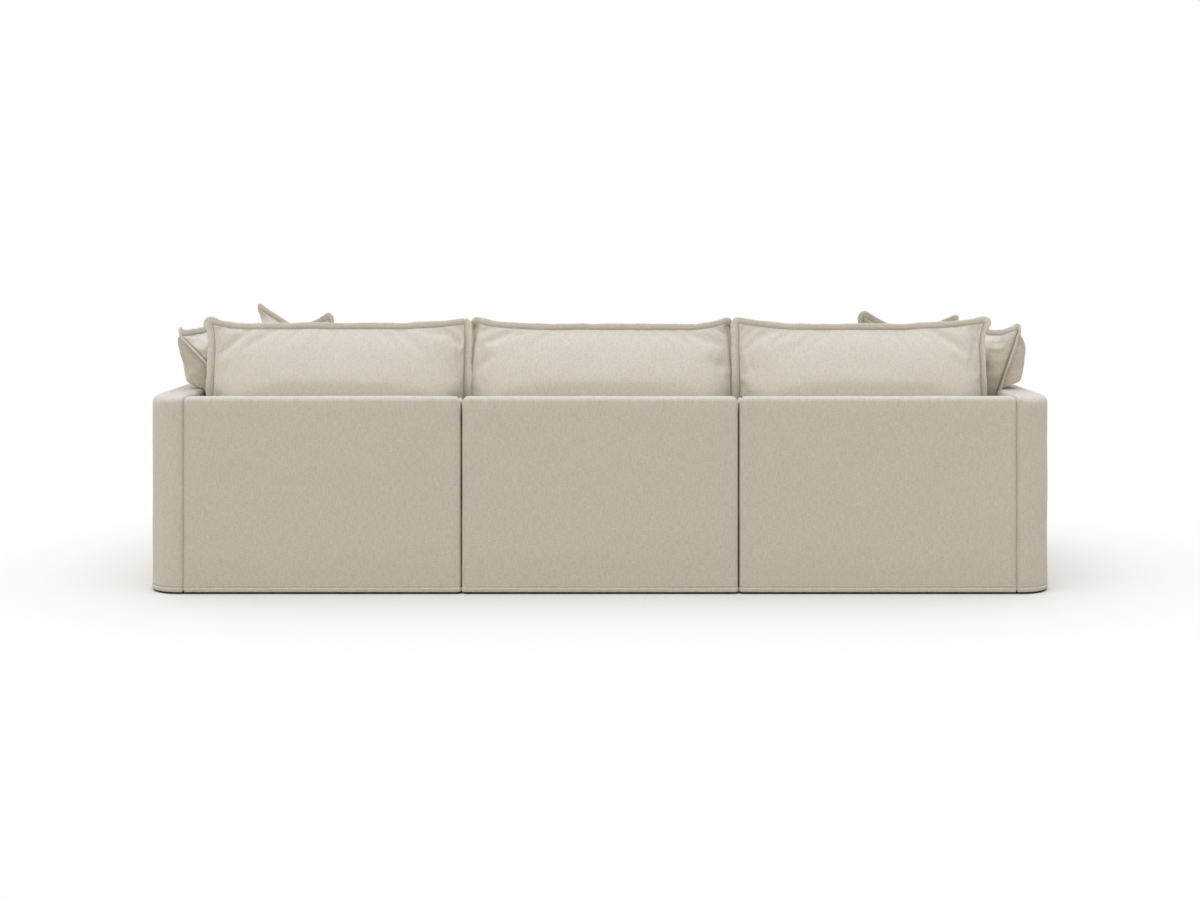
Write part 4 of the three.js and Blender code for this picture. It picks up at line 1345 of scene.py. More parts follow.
    def lean(self, x: np.ndarray, y: np.ndarray, z: np.ndarray, seam: np.ndarray) -> np.ndarray:
        """Presses places on the rear face against the support, and over its top."""
        if self.support is None:
            return y
        soft = self.lean_soft
        limit = self.limit(x, z)
        pressed = limit - soft * np.logaddexp(0, (limit - y) / soft) + soft * math.log(2) * 0.2
        return np.maximum(np.minimum(pressed, limit), np.minimum(y, seam + self.root_half))

    def sway(self, points: np.ndarray) -> np.ndarray:
        """Slants one side towards the foot."""
        low = ((self.half_height - points[:, 2]) / (2 * self.half_height)) ** 2
        at_slant = (points[:, 0] * self.slant_side / self.half_width + 1) / 2
        points[:, 0] -= self.slant_side * self.slant * low * at_slant
        return points

    def grid(self) -> np.ndarray:
        """The numbers of a face's points, row by row from the foot."""
        along, up = self.counts()
        return np.arange((along + 1) * (up + 1)).reshape(up + 1, along + 1)

    def rim(self) -> np.ndarray:
        """The numbers of a face's border points, anticlockwise from the lower left."""
        return grid_rim(self.grid())

    def border_ways(self, border: np.ndarray) -> tuple[np.ndarray, np.ndarray]:
        """Lays out the sewn border.

        Args:
            border: the places along the seam.

        Returns:
            The border's way and width at each place, and the way out of its cloth.
        """
        flat = border[:, [0, 2]]
        step = np.roll(flat, -1, 0) - np.roll(flat, 1, 0)
        way = unit(np.column_stack([step[:, 1], -step[:, 0]]))
        for _ in range(self.corner_passes):
            way = (np.roll(way, 1, 0) + 2 * way + np.roll(way, -1, 0)) / 4
        way = unit(way)
        down = np.clip(-way[:, 1], 0, 1)
        size = self.flange + (self.foot_flange - self.flange) * down
        along, up = self.counts()
        ears = np.ones(len(border))
        for corner, ear in zip((2 * along + up, along + up), self.corner_ears):
            away = np.abs(np.arange(len(border)) - corner)
            ears += (ear - 1) * np.exp(-((away / self.ear_points) ** 2))
        uneven = ripple(border * [1, 0, 1], self.width_wave_length, self.seed + 3) * self.width_wave
        size = size * ears * (1 + uneven)
        size = size + np.where(way[:, 0] < 0, *self.widened) * np.clip(np.abs(way[:, 0]) * 2 - 1, 0, 1)
        sideways = np.clip(np.abs(way[:, 0]) * 1.6 - 0.5, 0, 1)
        fold = np.where(way[:, 0] < 0, self.fold_at(border[:, 2], -1), self.fold_at(border[:, 2], 1))
        angle = fold * sideways * self.fold_angle
        cos, sin = np.cos(angle), np.sin(angle)
        ways = np.column_stack([way[:, 0] * cos, -sin, way[:, 1] * cos]) * size[:, None]
        normals = np.column_stack([way[:, 0] * sin, cos, way[:, 1] * sin])
        return ways, normals

    def build(self) -> None:
        """Builds, fills and sews the cushion, and puts it in its place."""
        along, up = self.counts()
        sheet = Sheet()
        rim = self.rim()
        starts = []
        low, high = self.levels()
        spots = np.meshgrid(self.spread(along) * self.half_width, self.spread(up) * (high - low) / 2)
        for side in (-1, 1):
            starts.append(sheet.add_points(self.sway(self.face(side))))
            sheet.add_grid(starts[-1] + self.grid(), np.dstack(spots), flip=side > 0)
        points = np.concatenate(sheet.points)
        rims = [start + rim for start in starts]
        points = self.fill_out(sheet, points, rims)
        points = self.press(points, starts, rim)
        sheet.points = [points]
        inner = self.line(sheet, points, rims)
        masks, seams = self.sew(sheet, points, starts, rim)
        piece = sheet.build(self.name, masks)
        shift = self.finish(piece)
        if inner is not None:
            self.settle_insert(inner, shift)
        self.stitch(seams, shift)

    def fill_out(self, sheet: Sheet, points: np.ndarray, rims: list[np.ndarray]) -> np.ndarray:
        """Runs the filling's simulation on the faces alone and returns their new places.

        The folds it makes are kept whole, and the broad swelling under them only in part, so
        that the cushion keeps the form that its support gives it.
        """
        result = self.filling.run(self.trial(sheet, points, rims, "filling_trial"), np.concatenate(rims))
        along, up = self.counts()
        moved = (result - points).reshape(2, up + 1, along + 1, 3)
        broad = moved
        for _ in range(self.swell_passes):
            wide = np.pad(broad, ((0, 0), (1, 1), (1, 1), (0, 0)), mode="edge")
            broad = (wide[:, :-2, 1:-1] + wide[:, 2:, 1:-1] + wide[:, 1:-1, :-2] + wide[:, 1:-1, 2:]) / 4
        kept = moved - broad * (1 - self.kept_swell)
        edge = np.zeros((up + 1, along + 1, 1))
        edge[1:-1, 1:-1] = 1.0
        return points + (kept * edge).reshape(-1, 3)

    def trial(self, sheet: Sheet, points: np.ndarray, rims: list, name: str) -> bpy.types.Object:
        """Makes a closed bag of the two faces alone."""
        bag = Sheet()
        bag.add_points(points)
        bag.faces, bag.maps = list(sheet.faces), list(sheet.maps)
        size = len(rims[0])
        for index in range(size):
            after = (index + 1) % size
            face = (rims[0][after], rims[0][index], rims[1][index], rims[1][after])
            bag.add_face(face, [(0, 0)] * 4)
        return bag.build(name, {})

    def line(self, sheet: Sheet, points: np.ndarray, rims: list) -> bpy.types.Object | None:
        """Makes the filled insert, a little smaller than the cover, where there is one.

        Args:
            sheet: the cushion's sheet.
            points: the places of both faces' points.
            rims: the border points of each face.

        Returns:
            The insert, or None where the cushion has none.
        """
        if self.insert_node is None:
            return None
        along, up = self.counts()
        faces = points.reshape(2, up + 1, along + 1, 3)
        middle, half = faces.mean(0), (faces[1] - faces[0]) / 2
        u, v = np.meshgrid(self.spread(along), self.spread(up))
        column = np.interp(u * self.insert_share, self.spread(along), np.arange(along + 1))
        row = np.interp(v * self.insert_share, self.spread(up), np.arange(up + 1))
        taper = np.sqrt(np.maximum((1 - np.abs(u) ** 8) * (1 - np.abs(v) ** 8), 0.001))[..., None]
        swell = self.between(half, row, column) * taper * self.insert_fill
        seat = self.between(middle, row, column)
        inner = np.stack([seat - swell, seat + swell]).reshape(-1, 3)
        return self.trial(sheet, inner, rims, f"{self.name}_insert")

    @staticmethod
    def between(grid: np.ndarray, row: np.ndarray, column: np.ndarray) -> np.ndarray:
        """Values of a grid at places between its points."""
        top, left = np.floor(row).astype(int), np.floor(column).astype(int)
        low = np.minimum(top + 1, grid.shape[0] - 1)
        right = np.minimum(left + 1, grid.shape[1] - 1)
        down, over = (row - top)[..., None], (column - left)[..., None]
        upper = grid[top, left] * (1 - over) + grid[top, right] * over
        lower = grid[low, left] * (1 - over) + grid[low, right] * over
        return upper * (1 - down) + lower * down

    def settle_insert(self, piece: bpy.types.Object, shift: np.ndarray) -> None:
        """Puts the insert into its cover and dresses it."""
        self.move(piece, shift)
        TICKING.fit(piece, self.body, self.insert_node)

    def press(self, points: np.ndarray, starts: list[int], rim: np.ndarray) -> np.ndarray:
        """Presses the creases in, after the filling has taken its shape.

        Args:
            points: the places of both faces' points.
            starts: the number of the first point of each face.
            rim: the border points of a face.

        Returns:
            The same places, pressed in.
        """
        size = len(points) // 2
        edge = np.zeros(size, bool)
        edge[rim] = True
        for start, side in zip(starts, (-1, 1)):
            part = points[start:start + size]
            push = np.zeros(size)
            for crease in self.creases:
                if crease.rear != (side > 0):
                    continue
                a, b = np.array(crease.start), np.array(crease.end)
                flat = part[:, [0, 2]]
                run = b - a
                share = (flat - a) @ run / (run @ run)
                held = np.clip(share, 0, 1)
                apart = np.linalg.norm(flat - a - held[:, None] * run, axis=1)
                taper = np.sin(np.clip(held, 0.02, 0.98) * math.pi) ** 0.7
                push += crease.depth * taper * np.exp(-((apart / crease.width) ** 2))
            soft = sum(ripple(part, length, self.seed + shift) * depth for length, depth, shift in SOFT_WAVES)
            part[:, 1] += np.where(edge, 0.0, side * (soft - push))
            if side > 0:
                held = self.limit(part[:, 0], part[:, 2])
                part[:, 1] = np.where(edge, part[:, 1], np.minimum(part[:, 1], held))
            part[:, 2] = np.maximum(part[:, 2], -self.half_height + 0.001)
        return points

    def sew(self, sheet: Sheet, points: np.ndarray, starts: list[int], rim: np.ndarray) -> tuple:
        """Adds the flat border round the seam, and lets it wave a little.

        Args:
            sheet: the cushion's sheet, which holds both faces.
            points: the places of the faces' points.
            starts: the numbers of the first point of each face.
            rim: the border points of a face.

        Returns:
            The masks of all points, with painted shade at the seams and painted highlight with wear at the
            flange edges, and the paths of the stitches with their ways out.
        """
        front, rear = points[starts[0] + rim], points[starts[1] + rim]
        border = (front + rear) / 2
        ways, normals = self.border_ways(border)
        span = arc_lengths(border)
        total = span[-1]
        turn = span[:-1] / total * 2 * math.pi
        ring = np.column_stack([np.cos(turn), np.sin(turn), np.full(len(turn), self.seed)])
        ring = ring * total / 2 / math.pi
        wave = ripple(ring, self.flange_wave_length, self.seed + 5) * self.flange_wave
        fray = ripple(ring, self.fray_length, self.seed + 9) * self.fray
        stations = FLANGE_STATIONS
        rows = [(out, -thick) for out, thick in stations] + list(stations[-2::-1])
        numbers = [starts[0] + rim]
        heights = [0.0]
        masks = [np.zeros(len(points))]
        worn = [np.zeros(len(points))]
        seams = []
        for out, thick in rows:
            grown = ways * (out + fray[:, None] * out / self.flange)
            lifted = normals * (thick * self.flange_half + wave * out)[:, None]
            place = border + grown + lifted
            start = sheet.add_points(place)
            numbers.append(np.arange(start, start + len(border)))
            heights.append(heights[-1] + self.flange / len(stations))
            # Painted shade at the flange's root, fading towards its outer edge.
            masks.append(np.full(len(border), 0.7 * math.exp(-((out / 0.2) ** 2))))
            # Outer half of the flange lighter: painted highlight, with some wear.
            worn.append(np.full(len(border), max(0.0, out * 2 - 1)))
            if out == STITCHED_AT:
                seams.append((place, normals * math.copysign(1.0, thick)))
        numbers.append(starts[1] + rim)
        heights.append(heights[-1] + self.flange / len(stations))
        sheet.add_bands(numbers, span, heights)
        # Painted shade on the face points along the seam.
        near = np.zeros(len(points))
        near[starts[0] + rim] = near[starts[1] + rim] = 0.7
        masks[0] = near
        return {PAINTED_SEAM_SHADE_MASK: np.concatenate(masks), WEAR_HIGHLIGHT_MASK: np.concatenate(worn)}, seams

    def close(self, shift: np.ndarray) -> None:
        """Puts the zip into the foot's edge, where the cushion has one."""
        if self.zip_length == 0.0:
            return
        turned = np.array([[1, 0, 0], [0, -1, 0], [0, 0, -1]])
        foot = np.array([0.0, 0.0, -self.half_height + 0.0038])
        flat = {"slider": (0.009, 0.0036, 0.0012), "pull": (0.017, 0.0026, 0.0004)}
        halves = {"tape_half": self.flange_half, "tooth_half": 0.0018}
        made = Zip(f"{self.name}_zip", self.body, self.zip_length, **halves, **flat)
        made.build(lambda places: self.rotated(places @ turned + foot) + shift)

    def stitch(self, seams: list, shift: np.ndarray) -> None:
        """Sews a row of stitches along the border's root on both sides."""
        rows = Stitching(f"{self.name}_stitches")
        for path, normals in seams:
            closed = np.concatenate([path, path[:1]])
            out = np.concatenate([normals, normals[:1]])
            rows.add_row(self.rotated(closed) + shift, self.rotated(out))
        rows.build(self.body)
        self.close(shift)

    def rotated(self, places: np.ndarray) -> np.ndarray:
        """Turns places from the cushion's own frame into the sofa's."""
        cos, sin = math.cos(-self.tilt), math.sin(-self.tilt)
        leaned = places @ np.array([[1, 0, 0], [0, cos, -sin], [0, sin, cos]]).T
        cos, sin = math.cos(self.turn), math.sin(self.turn)
        return leaned @ np.array([[cos, -sin, 0], [sin, cos, 0], [0, 0, 1]]).T

    def move(self, piece: bpy.types.Object, shift: np.ndarray | None) -> np.ndarray:
        """Turns a piece into the sofa's frame and puts it in its place, and returns the shift."""
        mesh = piece.data
        turned = self.rotated(places_of(mesh))
        if shift is None and self.place is not None:
            shift = np.array(self.place)
        if shift is None:
            low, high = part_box(self.cover_node)
            own_low, own_high = turned.min(0), turned.max(0)
            shift = (np.array(low) + np.array(high) - own_low - own_high) / 2
            shift[2] = low.z - own_low[2]
        mesh.vertices.foreach_set("co", (turned + shift).ravel())
        mesh.update()
        return shift

    def finish(self, piece: bpy.types.Object) -> np.ndarray:
        """Dresses the cushion and puts it where its frame node stands, and returns the shift."""
        shift = self.move(piece, None)
        smooth = piece.modifiers.new("smooth", "SUBSURF")
        smooth.levels = smooth.render_levels = 1
        LINEN.fit(piece, self.body, self.cover_node)
        return shift


@dataclass
class BoxedCushion:
    """A boxed seat cushion: two crowned panels and a band between them, with sewn edges."""

    plan: Plan
    corner_round: float = 0.04
    nose_round: float = 0.077
    edge_round: float = 0.012
    crown: float = 0.014
    draw_in: float = 0.004
    step: float = 0.018
    band_rows: int = 9
    arc_rows: int = 3
    seam_pull: float = 0.0016
    stitch_off: float = 0.0055
    zip_depth: float = 0.0044
    zip_reach: tuple[float, float] = (0.225, 0.02)
    filling: Filling = field(default_factory=lambda: Filling(pressure=3.0, slack=0.015, reach=0.006))

    def border(self, inset: float) -> np.ndarray:
        """The outline, moved inwards, anticlockwise from the middle of the lower left corner."""
        low, high = self.plan.seat
        nose = self.nose_round if self.plan.side > 0 else self.corner_round
        radii = [nose, nose, self.corner_round, self.corner_round]
        xs, ys = (low.x + inset, high.x - inset), (low.y + inset, high.y - inset)
        tips = [(xs[0], ys[0]), (xs[1], ys[0]), (xs[1], ys[1]), (xs[0], ys[1])]
        counts = self.counts()
        found = []
        for index in range(4):
            after = (index + 1) % 4
            start, end = np.array(tips[index]), np.array(tips[after])
            way = (end - start) / np.linalg.norm(end - start)
            inward = np.array([-way[1], way[0]])
            first, last = max(radii[index] - inset, 1e-4), max(radii[after] - inset, 1e-4)
            arcs = [math.pi / 4 * first, math.pi / 4 * last]
            line = np.linalg.norm(end - start) - first - last
            total = arcs[0] + line + arcs[1]
            count = counts[index % 2]
            for step in range(count):
                at = total * step / count
                if at < arcs[0]:
                    angle = math.pi / 4 - at / first
                    centre = start + way * first + inward * first
                    point = centre - way * first * math.sin(angle) - inward * first * math.cos(angle)
                elif at < arcs[0] + line:
                    point = start + way * (first + at - arcs[0])
                else:
                    angle = (at - arcs[0] - line) / last
                    centre = end - way * last + inward * last
                    point = centre + way * last * math.sin(angle) - inward * last * math.cos(angle)
                found.append(point)
        return np.array(found)

    def counts(self) -> tuple[int, int]:
        """How many cells the panels have along X and along Y."""
        low, high = self.plan.seat
        return round((high.x - low.x) / self.step), round((high.y - low.y) / self.step)

    def panel(self, rim: np.ndarray) -> np.ndarray:
        """Fills the inside of a rim with a grid of places."""
        nx, ny = self.counts()
        front, right = rim[:nx + 1], rim[nx:nx + ny + 1]
        back = rim[nx + ny:2 * nx + ny + 1][::-1]
        left = np.concatenate([rim[2 * nx + ny:], rim[:1]])[::-1]
        u, v = np.meshgrid(np.linspace(0, 1, nx + 1), np.linspace(0, 1, ny + 1))
        u, v = u[..., None], v[..., None]
        sides = (1 - v) * front + v * back + (1 - u) * left[:, None] + u * right[:, None]
        corners = (1 - u) * (1 - v) * front[0] + u * (1 - v) * front[-1]
        corners = corners + (1 - u) * v * back[0] + u * v * back[-1]
        return sides - corners

    def crown_at(self, flat: np.ndarray) -> np.ndarray:
        """Height of the crown, convex all over."""
        low, high = self.plan.seat
        middle = (np.array(low) + np.array(high))[:2] / 2
        half = (np.array(high) - np.array(low))[:2] / 2
        shares = np.clip(1 - ((flat - middle) / half) ** 2, 0, None)
        return self.crown * np.sqrt(shares[..., 0] * shares[..., 1])

    def profile(self, bottom: float, top: float) -> list[tuple[float, float, float]]:
        """The band's section from foot to top: how far in, how high, and whether the crown lifts it."""
        arc = np.linspace(0, math.pi / 2, self.arc_rows + 1)
        bends = [(1 - math.cos(angle), 1 - math.sin(angle)) for angle in arc]
        bends = [(self.edge_round * inset, self.edge_round * drop) for inset, drop in bends]
        found = [(inset, bottom + drop, 0.0) for inset, drop in bends[::-1]]
        span = top - bottom - 2 * self.edge_round
        for share in np.linspace(0, 1, self.band_rows + 1)[1:-1]:
            inset = self.draw_in * 4 * share * (1 - share)
            found.append((inset, bottom + self.edge_round + span * share, 0.0))
        return found + [(inset, top - drop, float(inset > 0)) for inset, drop in bends]

    def shell(self, sheet: Sheet, bottom: float, top: float) -> list[np.ndarray]:
        """Adds the band and both panels, and returns the numbers of the points on both seams."""
        rings, heights = [], []
        for inset, z, lift in self.profile(bottom, top):
            flat = self.border(inset)
            level = z + self.crown_at(flat) * lift * (z - (top - self.edge_round)) / self.edge_round
            start = sheet.add_points(np.column_stack([flat, level]))
            rings.append(np.arange(start, start + len(flat)))
            heights.append(z + inset)
        sheet.add_bands(rings, arc_lengths(self.border(0.0)), heights)
        nx, ny = self.counts()
        border = grid_rim(np.arange((nx + 1) * (ny + 1)).reshape(ny + 1, nx + 1))
        for ring, z, sign in ((rings[0], bottom, -1), (rings[-1], top, 1)):
            flat = self.panel(np.concatenate(sheet.points)[ring][:, :2]).reshape(-1, 2)
            lift = self.crown_at(flat) if sign > 0 else np.zeros(len(flat))
            numbers = np.full(len(flat), -1)
            numbers[border] = ring
            fresh = np.flatnonzero(numbers < 0)
            start = sheet.add_points(np.column_stack([flat, z + lift])[fresh])
            numbers[fresh] = start + np.arange(len(fresh))
            sheet.add_grid(numbers.reshape(ny + 1, nx + 1), flat.reshape(ny + 1, nx + 1, 2), flip=sign < 0)
        return [rings[self.arc_rows], rings[-1 - self.arc_rows]]

    def hold(self, points: np.ndarray, bottom: float, top: float) -> None:
        """Keeps the filled cushion within its box, and flat behind the zip."""
        low, high = self.plan.seat
        ceiling = top + self.crown_at(points[:, :2]) + 0.0002
        points[:, 2] = np.clip(points[:, 2], bottom, ceiling)
        for axis in (0, 1):
            points[:, axis] = np.clip(points[:, axis], low[axis], high[axis])
        middle = (np.array(low) + np.array(high)) / 2
        off = np.abs(points - middle)
        at_zip = (off[:, 0] < self.zip_reach[0]) & (off[:, 2] < self.zip_reach[1])
        at_zip &= points[:, 1] > middle[1]
        points[:, 1] = np.where(at_zip, np.minimum(points[:, 1], high.y - self.zip_depth), points[:, 1])

    def build(self) -> None:
        """Builds, fills and dresses the cushion."""
        label = self.plan.label
        low, high = self.plan.seat
        bottom, top = low.z, high.z - self.crown
        sheet = Sheet()
        seam_rings = self.shell(sheet, bottom, top)
        points = np.concatenate(sheet.points)
        # The seam rings get painted shade through the seam mask; the same values pull the seams in.
        near = np.zeros(len(points))
        near[np.concatenate(seam_rings)] = 1.0
        points = self.filling.run(sheet.build("filling_trial", {}), np.concatenate(seam_rings))
        self.hold(points, bottom, top)
        middle = (np.array(low) + np.array(high))[:2] / 2
        points[:, :2] += unit(middle - points[:, :2]) * near[:, None] * self.seam_pull
        sheet.points = [points]
        piece = sheet.build(f"{label}_seat_cushion", {PAINTED_SEAM_SHADE_MASK: near})
        smooth = piece.modifiers.new("smooth", "SUBSURF")
        smooth.levels = smooth.render_levels = 1
        LINEN.fit(piece, f"{label}_seat_cushion", f"{label}_seat_cover")
        self.trim(points, seam_rings)

    def trim(self, points: np.ndarray, seam_rings: list) -> None:
        """Sews a row of stitches beside each seam, and the zip in the band's rear."""
        label = self.plan.label
        low, high = self.plan.seat
        rows = Stitching(f"{label}_seat_stitches")
        for ring in seam_rings:
            path = points[ring]
            way = np.roll(path, -1, 0) - np.roll(path, 1, 0)
            out = unit(np.column_stack([way[:, 1], -way[:, 0], np.zeros(len(way))]))
            upper = path[0, 2] > (low.z + high.z) / 2
            path = path + [0, 0, -self.stitch_off if upper else self.stitch_off]
            rows.add_row(np.concatenate([path, path[:1]]), np.concatenate([out, out[:1]]))
        rows.build(f"{label}_seat_cushion")
        height = (low.z + high.z - self.crown) / 2
        middle = np.array([(low.x + high.x) / 2, high.y - self.zip_depth, height])
        turned = np.array([[-1, 0, 0], [0, 0, 1], [0, 1, 0]])
        made = Zip(f"{label}_seat_zip", f"{label}_seat_cushion", ZIP_LENGTH)
        made.build(lambda places: places @ turned + middle)


@dataclass
class SoftFillings:
    """A module's foam, which lies under its cover with softly cut edges."""

    label: str
    edge: float = 0.018
    ease: float = 0.011

    def build(self) -> None:
        """Builds each foam piece around its frame node."""
        for word, edge, ease in (
            ("back_foam", self.edge, self.ease),
            ("arm_foam", self.edge, self.ease),
            ("deck_pad", 0.008, 0.002),
            ("seat_core", 0.016, 0.004),
        ):
            name = f"{self.label}_{word}"
            if name in frame["nodes"]:
                self.pad(name, edge, ease)

    def pad(self, name: str, edge: float, ease: float) -> None:
        """Builds one foam piece in the form of a node, with round edges, a little smaller.

        Args:
            name: the node's name.
            edge: the radius of its edges.
            ease: how far it stays inside the node all round.
        """
        node = frame["nodes"][name]
        mesh = node.data.copy()
        mesh.name = f"{name}_block"
        low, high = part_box(name)
        middle = (np.array(low) + np.array(high)) / 2
        size = np.array(high) - np.array(low)
        places = middle + (places_of(mesh) - middle) * (1 - 2 * ease / size)
        mesh.vertices.foreach_set("co", places.ravel())
        made = bpy.data.objects.new(f"{name}_block", mesh)
        bpy.context.scene.collection.objects.link(made)
        bevel = made.modifiers.new("cut_edge", "BEVEL")
        bevel.width = edge
        bevel.segments = 3
        bevel.limit_method = "ANGLE"
        bevel.angle_limit = math.radians(40)
        FOAM.fit(made, node.parent.name.split(":", 1)[1], name)


@dataclass
class Platform:
    """What carries a module's seat: straps over and under each other, and the lining below."""

    label: str
    strap: float = 0.07
    pitch: float = 0.175
    thickness: float = 0.0012
    lift: float = 0.0009
    lining_sag: float = 0.006
    lining_step: float = 0.04
    crossing_steps: int = 6
    strap_outline: tuple = (
        (-1.0, -0.3),
        (-0.97, -1.0),
        (0.97, -1.0),
        (1.0, -0.3),
        (1.0, 0.3),
        (0.97, 1.0),
        (-0.97, 1.0),
        (-1.0, 0.3),
    )
    strap_inset: float = 0.024
    lining_inset: float = 0.032

    def notch(self, inset: float) -> tuple[float, float] | None:
        """X and Y of the corner that the chaise's frame leaves out in front of its arm."""
        if self.label != Module.CHAISE.label:
            return None
        arm_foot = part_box(f"{self.label}_foot_5")[0]
        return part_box(f"{self.label}_seat_cover")[1].x - inset, arm_foot.y + inset / 2

    def build(self) -> None:
        """Builds the straps and the lining."""
        self.webbing()
        self.lining()

    def webbing(self) -> None:
        """Builds the crossed straps, each a thin woven band that dips at every second crossing."""
        name = f"{self.label}_webbing"
        low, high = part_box(name)
        sheet = Sheet()
        middle = (low.z + high.z) / 2
        size = (high.x - low.x, high.y - low.y)
        counts = [max(2, round((length - self.strap) / self.pitch) + 1) for length in size]
        notch = self.notch(self.strap_inset)
        for axis in (0, 1):
            other = 1 - axis
            start_across, end_across = low[other] + self.strap / 2, high[other] - self.strap / 2
            for number, across in enumerate(np.linspace(start_across, end_across, counts[other])):
                ends = [low[axis], high[axis]]
                if notch and axis == 0 and across - self.strap / 2 < notch[1]:
                    ends[1] = notch[0]
                if notch and axis == 1 and across + self.strap / 2 > notch[0]:
                    ends[0] = notch[1]
                ends = np.linspace(*ends, (counts[axis] - 1) * self.crossing_steps + 5)
                first, last = low[axis] + self.strap / 2, high[axis] - self.strap / 2
                phase = (ends - first) / (last - first) * (counts[axis] - 1)
                wave = self.lift * (1 if axis else -1) * np.cos(math.pi * phase) * (-1) ** number
                self.band(sheet, axis, across, ends, middle + wave)
        piece = sheet.build(f"{self.label}_seat_straps", {})
        STRAP.fit(piece, f"{self.label}_module", name)

    def band(self, sheet: Sheet, axis: int, across: float, along: np.ndarray, heights: np.ndarray) -> None:
        """Adds one strap.

        Args:
            sheet: the sheet of all straps.
            axis: 0 where the strap runs along X, and 1 along Y.
            across: where its middle lies on the other axis.
            along: its stations on its own axis.
            heights: how high it lies at each of them.
        """
        offs, levels = np.array(self.strap_outline).T
        offs = offs * self.strap / 2
        rings = []
        for place, height in zip(along, heights):
            ring = [np.full(len(offs), place), across + offs]
            rings.append(np.column_stack([*ring[::-1 if axis else 1], height + levels * self.thickness / 2]))
        sheet.add_tube(rings, offs, along, flip=bool(axis))

    @staticmethod
    def drop_loose(piece: bpy.types.Object) -> None:
        """Takes the points out of a mesh that no face uses."""
        shape = bmesh.new()
        shape.from_mesh(piece.data)
        loose = [vert for vert in shape.verts if not vert.link_faces]
        bmesh.ops.delete(shape, geom=loose, context="VERTS")
        shape.to_mesh(piece.data)
        shape.free()

    def lining(self) -> None:
        """Builds the cloth stapled under the frame, sagging a little between its edges."""
        name = f"{self.label}_dust_cover"
        low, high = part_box(name)
        nx = round((high.x - low.x) / self.lining_step)
        ny = round((high.y - low.y) / self.lining_step)
        us, vs = np.linspace(-1, 1, nx + 1), np.linspace(-1, 1, ny + 1)
        notch = self.notch(self.lining_inset)
        cut = (nx, 0)
        if notch:
            at = [2 * (place - low[k]) / (high[k] - low[k]) - 1 for k, place in enumerate(notch)]
            cut = (int(np.argmin(np.abs(us - at[0]))), int(np.argmin(np.abs(vs - at[1]))))
            us[cut[0]], vs[cut[1]] = at
        u, v = np.meshgrid(us, vs)
        sag = self.lining_sag * (1 - u**4) * (1 - v**4)
        x = (low.x + high.x) / 2 + u * (high.x - low.x) / 2
        y = (low.y + high.y) / 2 + v * (high.y - low.y) / 2
        points = np.column_stack([x.ravel(), y.ravel(), (high.z - 0.0004 - sag).ravel()])
        points[:, 2] += ripple(points, 0.12, 4.0) * 0.001 * (sag.ravel() / self.lining_sag)
        sheet = Sheet()
        sheet.add_points(points)
        grid = np.arange(len(points)).reshape(ny + 1, nx + 1)
        for part in (grid[:, :cut[0] + 1], grid[cut[1]:, cut[0]:]):
            sheet.add_grid(part, points[part][..., :2], flip=True)
        piece = sheet.build(f"{self.label}_lining", {})
        self.drop_loose(piece)
        thick = piece.modifiers.new("cloth", "SOLIDIFY")
        thick.thickness = 0.0006
        thick.offset = 0.0
        LINING.fit(piece, f"{self.label}_module", name)
        f"{self.label}_base_frame"


class HardParts:
    """The frame's own hard pieces, which keep their shape and get a finish."""

    FINISHES = {
        "base_frame": TIMBER,
        "back_frame": TIMBER,
        "arm_frame": TIMBER,
        "foot": GLIDE,
        "hook": ZINC,
        "socket": ZINC,
    }

    def dress(self) -> None:
        """Gives each node that still shows its finish."""
        for name, node in frame["nodes"].items():
            found = [finish for word, finish in self.FINISHES.items() if word in name]
            if found and not node.hide_render:
                found[0].dress(node)
        LOG.info("hard pieces dressed")


